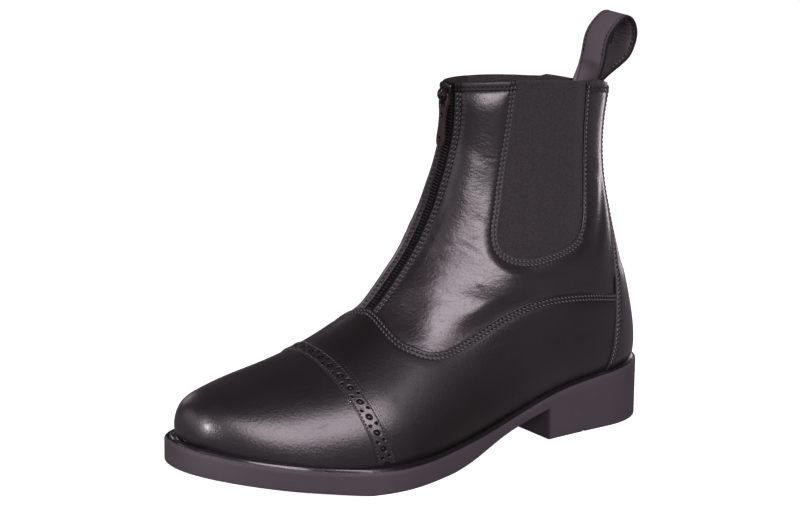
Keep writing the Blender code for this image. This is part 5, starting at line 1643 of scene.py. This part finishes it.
# Studio: a plain white floor under soft boxes, with the camera where the photographer stood.
# The floor is white to the camera and dim in reflections, so the leather keeps its darks.
CAMERA_AZIMUTH = 53.66
CAMERA_ELEVATION = 15.55
CAMERA_DISTANCE = 1742.6
CAMERA_TARGET = (-4.46 + STRAP_MIDDLE * 1000, -5.16 + HEEL_BACK * 1000 - SOLE_LENGTH / 2, 106.2)
CAMERA_LENS = 149.9
CAMERA_ROLL = 0.7
FLOOR_HALF = 6.0
FLOOR_DROP = 0.0003
AIR_COLOUR = (1.0, 0.92, 0.98, 1)
AIR_STRENGTH = 0.055

# Soft boxes: azimuth and elevation as seen from the boot, distance in metres, width, height, power in watts
SOFT_BOXES = (
    (81.0, 32.0, 1.7, 1.2, 1.08, 35.0),
    (198.0, 4.0, 0.6, 0.1, 0.5, 0.36),
    (18.0, 24.0, 1.8, 1.4, 0.9, 2.6),
    (-28.0, 8.0, 1.8, 1.6, 0.9, 5.0),
    (-92.0, 13.0, 1.8, 0.8, 0.45, 1.6),
)

# Snooted lamp on the toe: azimuth and elevation, distance in metres, radius, power, cone in degrees
TOE_LAMP = (10.0, 17.0, 1.6, 0.07, 95.0, 5.5)
TOE_LAMP_BLEND = 0.6
TOE_LAMP_AIM = (262.0, -6.0, 38.0)
LIGHT_TINT = (1.0, 0.885, 0.96)


def from_boot(azimuth, elevation):
    """Direction from the boot: azimuth 0 towards the toe, 90 towards its outer side."""
    a, e = np.radians([azimuth, elevation])
    return np.array([np.sin(a) * np.cos(e), -np.cos(a) * np.cos(e), np.sin(e)])


def aim(item, position, target, roll=0.0):
    """Puts a light or the camera at a position, looking at a target, its top up but for the roll."""
    back = np.array(position) - np.array(target)
    back = back / np.linalg.norm(back)
    right = np.cross([0.0, 0.0, 1.0], back)
    right = right / np.linalg.norm(right)
    top = np.cross(back, right)
    lean = np.radians(roll)
    turned = np.eye(4)
    turned[:3, 0] = right * np.cos(lean) + top * np.sin(lean)
    turned[:3, 1] = top * np.cos(lean) - right * np.sin(lean)
    turned[:3, 2] = back
    turned[:3, 3] = position
    item.matrix_world = Matrix(turned.tolist())


floor_mesh = bpy.data.meshes.new("studio_floor")
corners = np.array([(-1, -1, 0), (1, -1, 0), (1, 1, 0), (-1, 1, 0)]) * FLOOR_HALF
floor_mesh.from_pydata((corners - (0, 0, FLOOR_DROP)).tolist(), [], [(0, 1, 2, 3)])
floor_item = bpy.data.objects.new("studio_floor", floor_mesh)
bpy.context.scene.collection.objects.link(floor_item)
floor_paint, shader, spot = new_finish("floor_paint", Roughness=0.9, Specular_IOR_Level=0.1)
shader.inputs["Emission Strength"].default_value = 1.0
seen = spot.node("ShaderNodeLightPath", {}, output="Is Camera Ray")
wire_up(shader, spot, spot.noise(4.0), 0.02, Base_Color=seen.mix((0.1, 0.1, 0.1, 1), (0.8, 0.8, 0.8, 1)),
        Emission_Color=seen.mix((0.115, 0.104, 0.112, 1), (0.93, 0.93, 0.93, 1)))
floor_mesh.materials.append(floor_paint)

centre = np.array(CAMERA_TARGET) / 1000
for index, (azimuth, elevation, distance, width, height, power) in enumerate(SOFT_BOXES):
    light = bpy.data.lights.new("soft_box_" + str(index), "AREA")
    light.shape = "RECTANGLE"
    light.size = width
    light.size_y = height
    light.energy = power
    light.color = LIGHT_TINT
    box = bpy.data.objects.new(light.name, light)
    bpy.context.scene.collection.objects.link(box)
    aim(box, centre + from_boot(azimuth, elevation) * distance, centre)

azimuth, elevation, distance, radius, power, cone = TOE_LAMP
light = bpy.data.lights.new("toe_lamp", "SPOT")
light.shadow_soft_size = radius
light.energy = power
light.color = LIGHT_TINT
light.spot_size = np.radians(cone)
light.spot_blend = TOE_LAMP_BLEND
lamp = bpy.data.objects.new("toe_lamp", light)
bpy.context.scene.collection.objects.link(lamp)
toe = place(TOE_LAMP_AIM)
aim(lamp, toe + from_boot(azimuth, elevation) * distance, toe)

world = bpy.data.worlds.new("studio_air")
world.use_nodes = True
world.node_tree.nodes["Background"].inputs["Color"].default_value = AIR_COLOUR
world.node_tree.nodes["Background"].inputs["Strength"].default_value = AIR_STRENGTH
bpy.context.scene.world = world
bpy.context.scene.view_settings.view_transform = "Standard"

camera = bpy.data.objects.new("camera", bpy.data.cameras.new("camera"))
camera.data.lens = CAMERA_LENS
camera.data.clip_end = 50.0
bpy.context.scene.collection.objects.link(camera)
stand = centre + from_boot(CAMERA_AZIMUTH, CAMERA_ELEVATION) * CAMERA_DISTANCE / 1000
aim(camera, stand, centre, CAMERA_ROLL)
bpy.context.scene.camera = camera
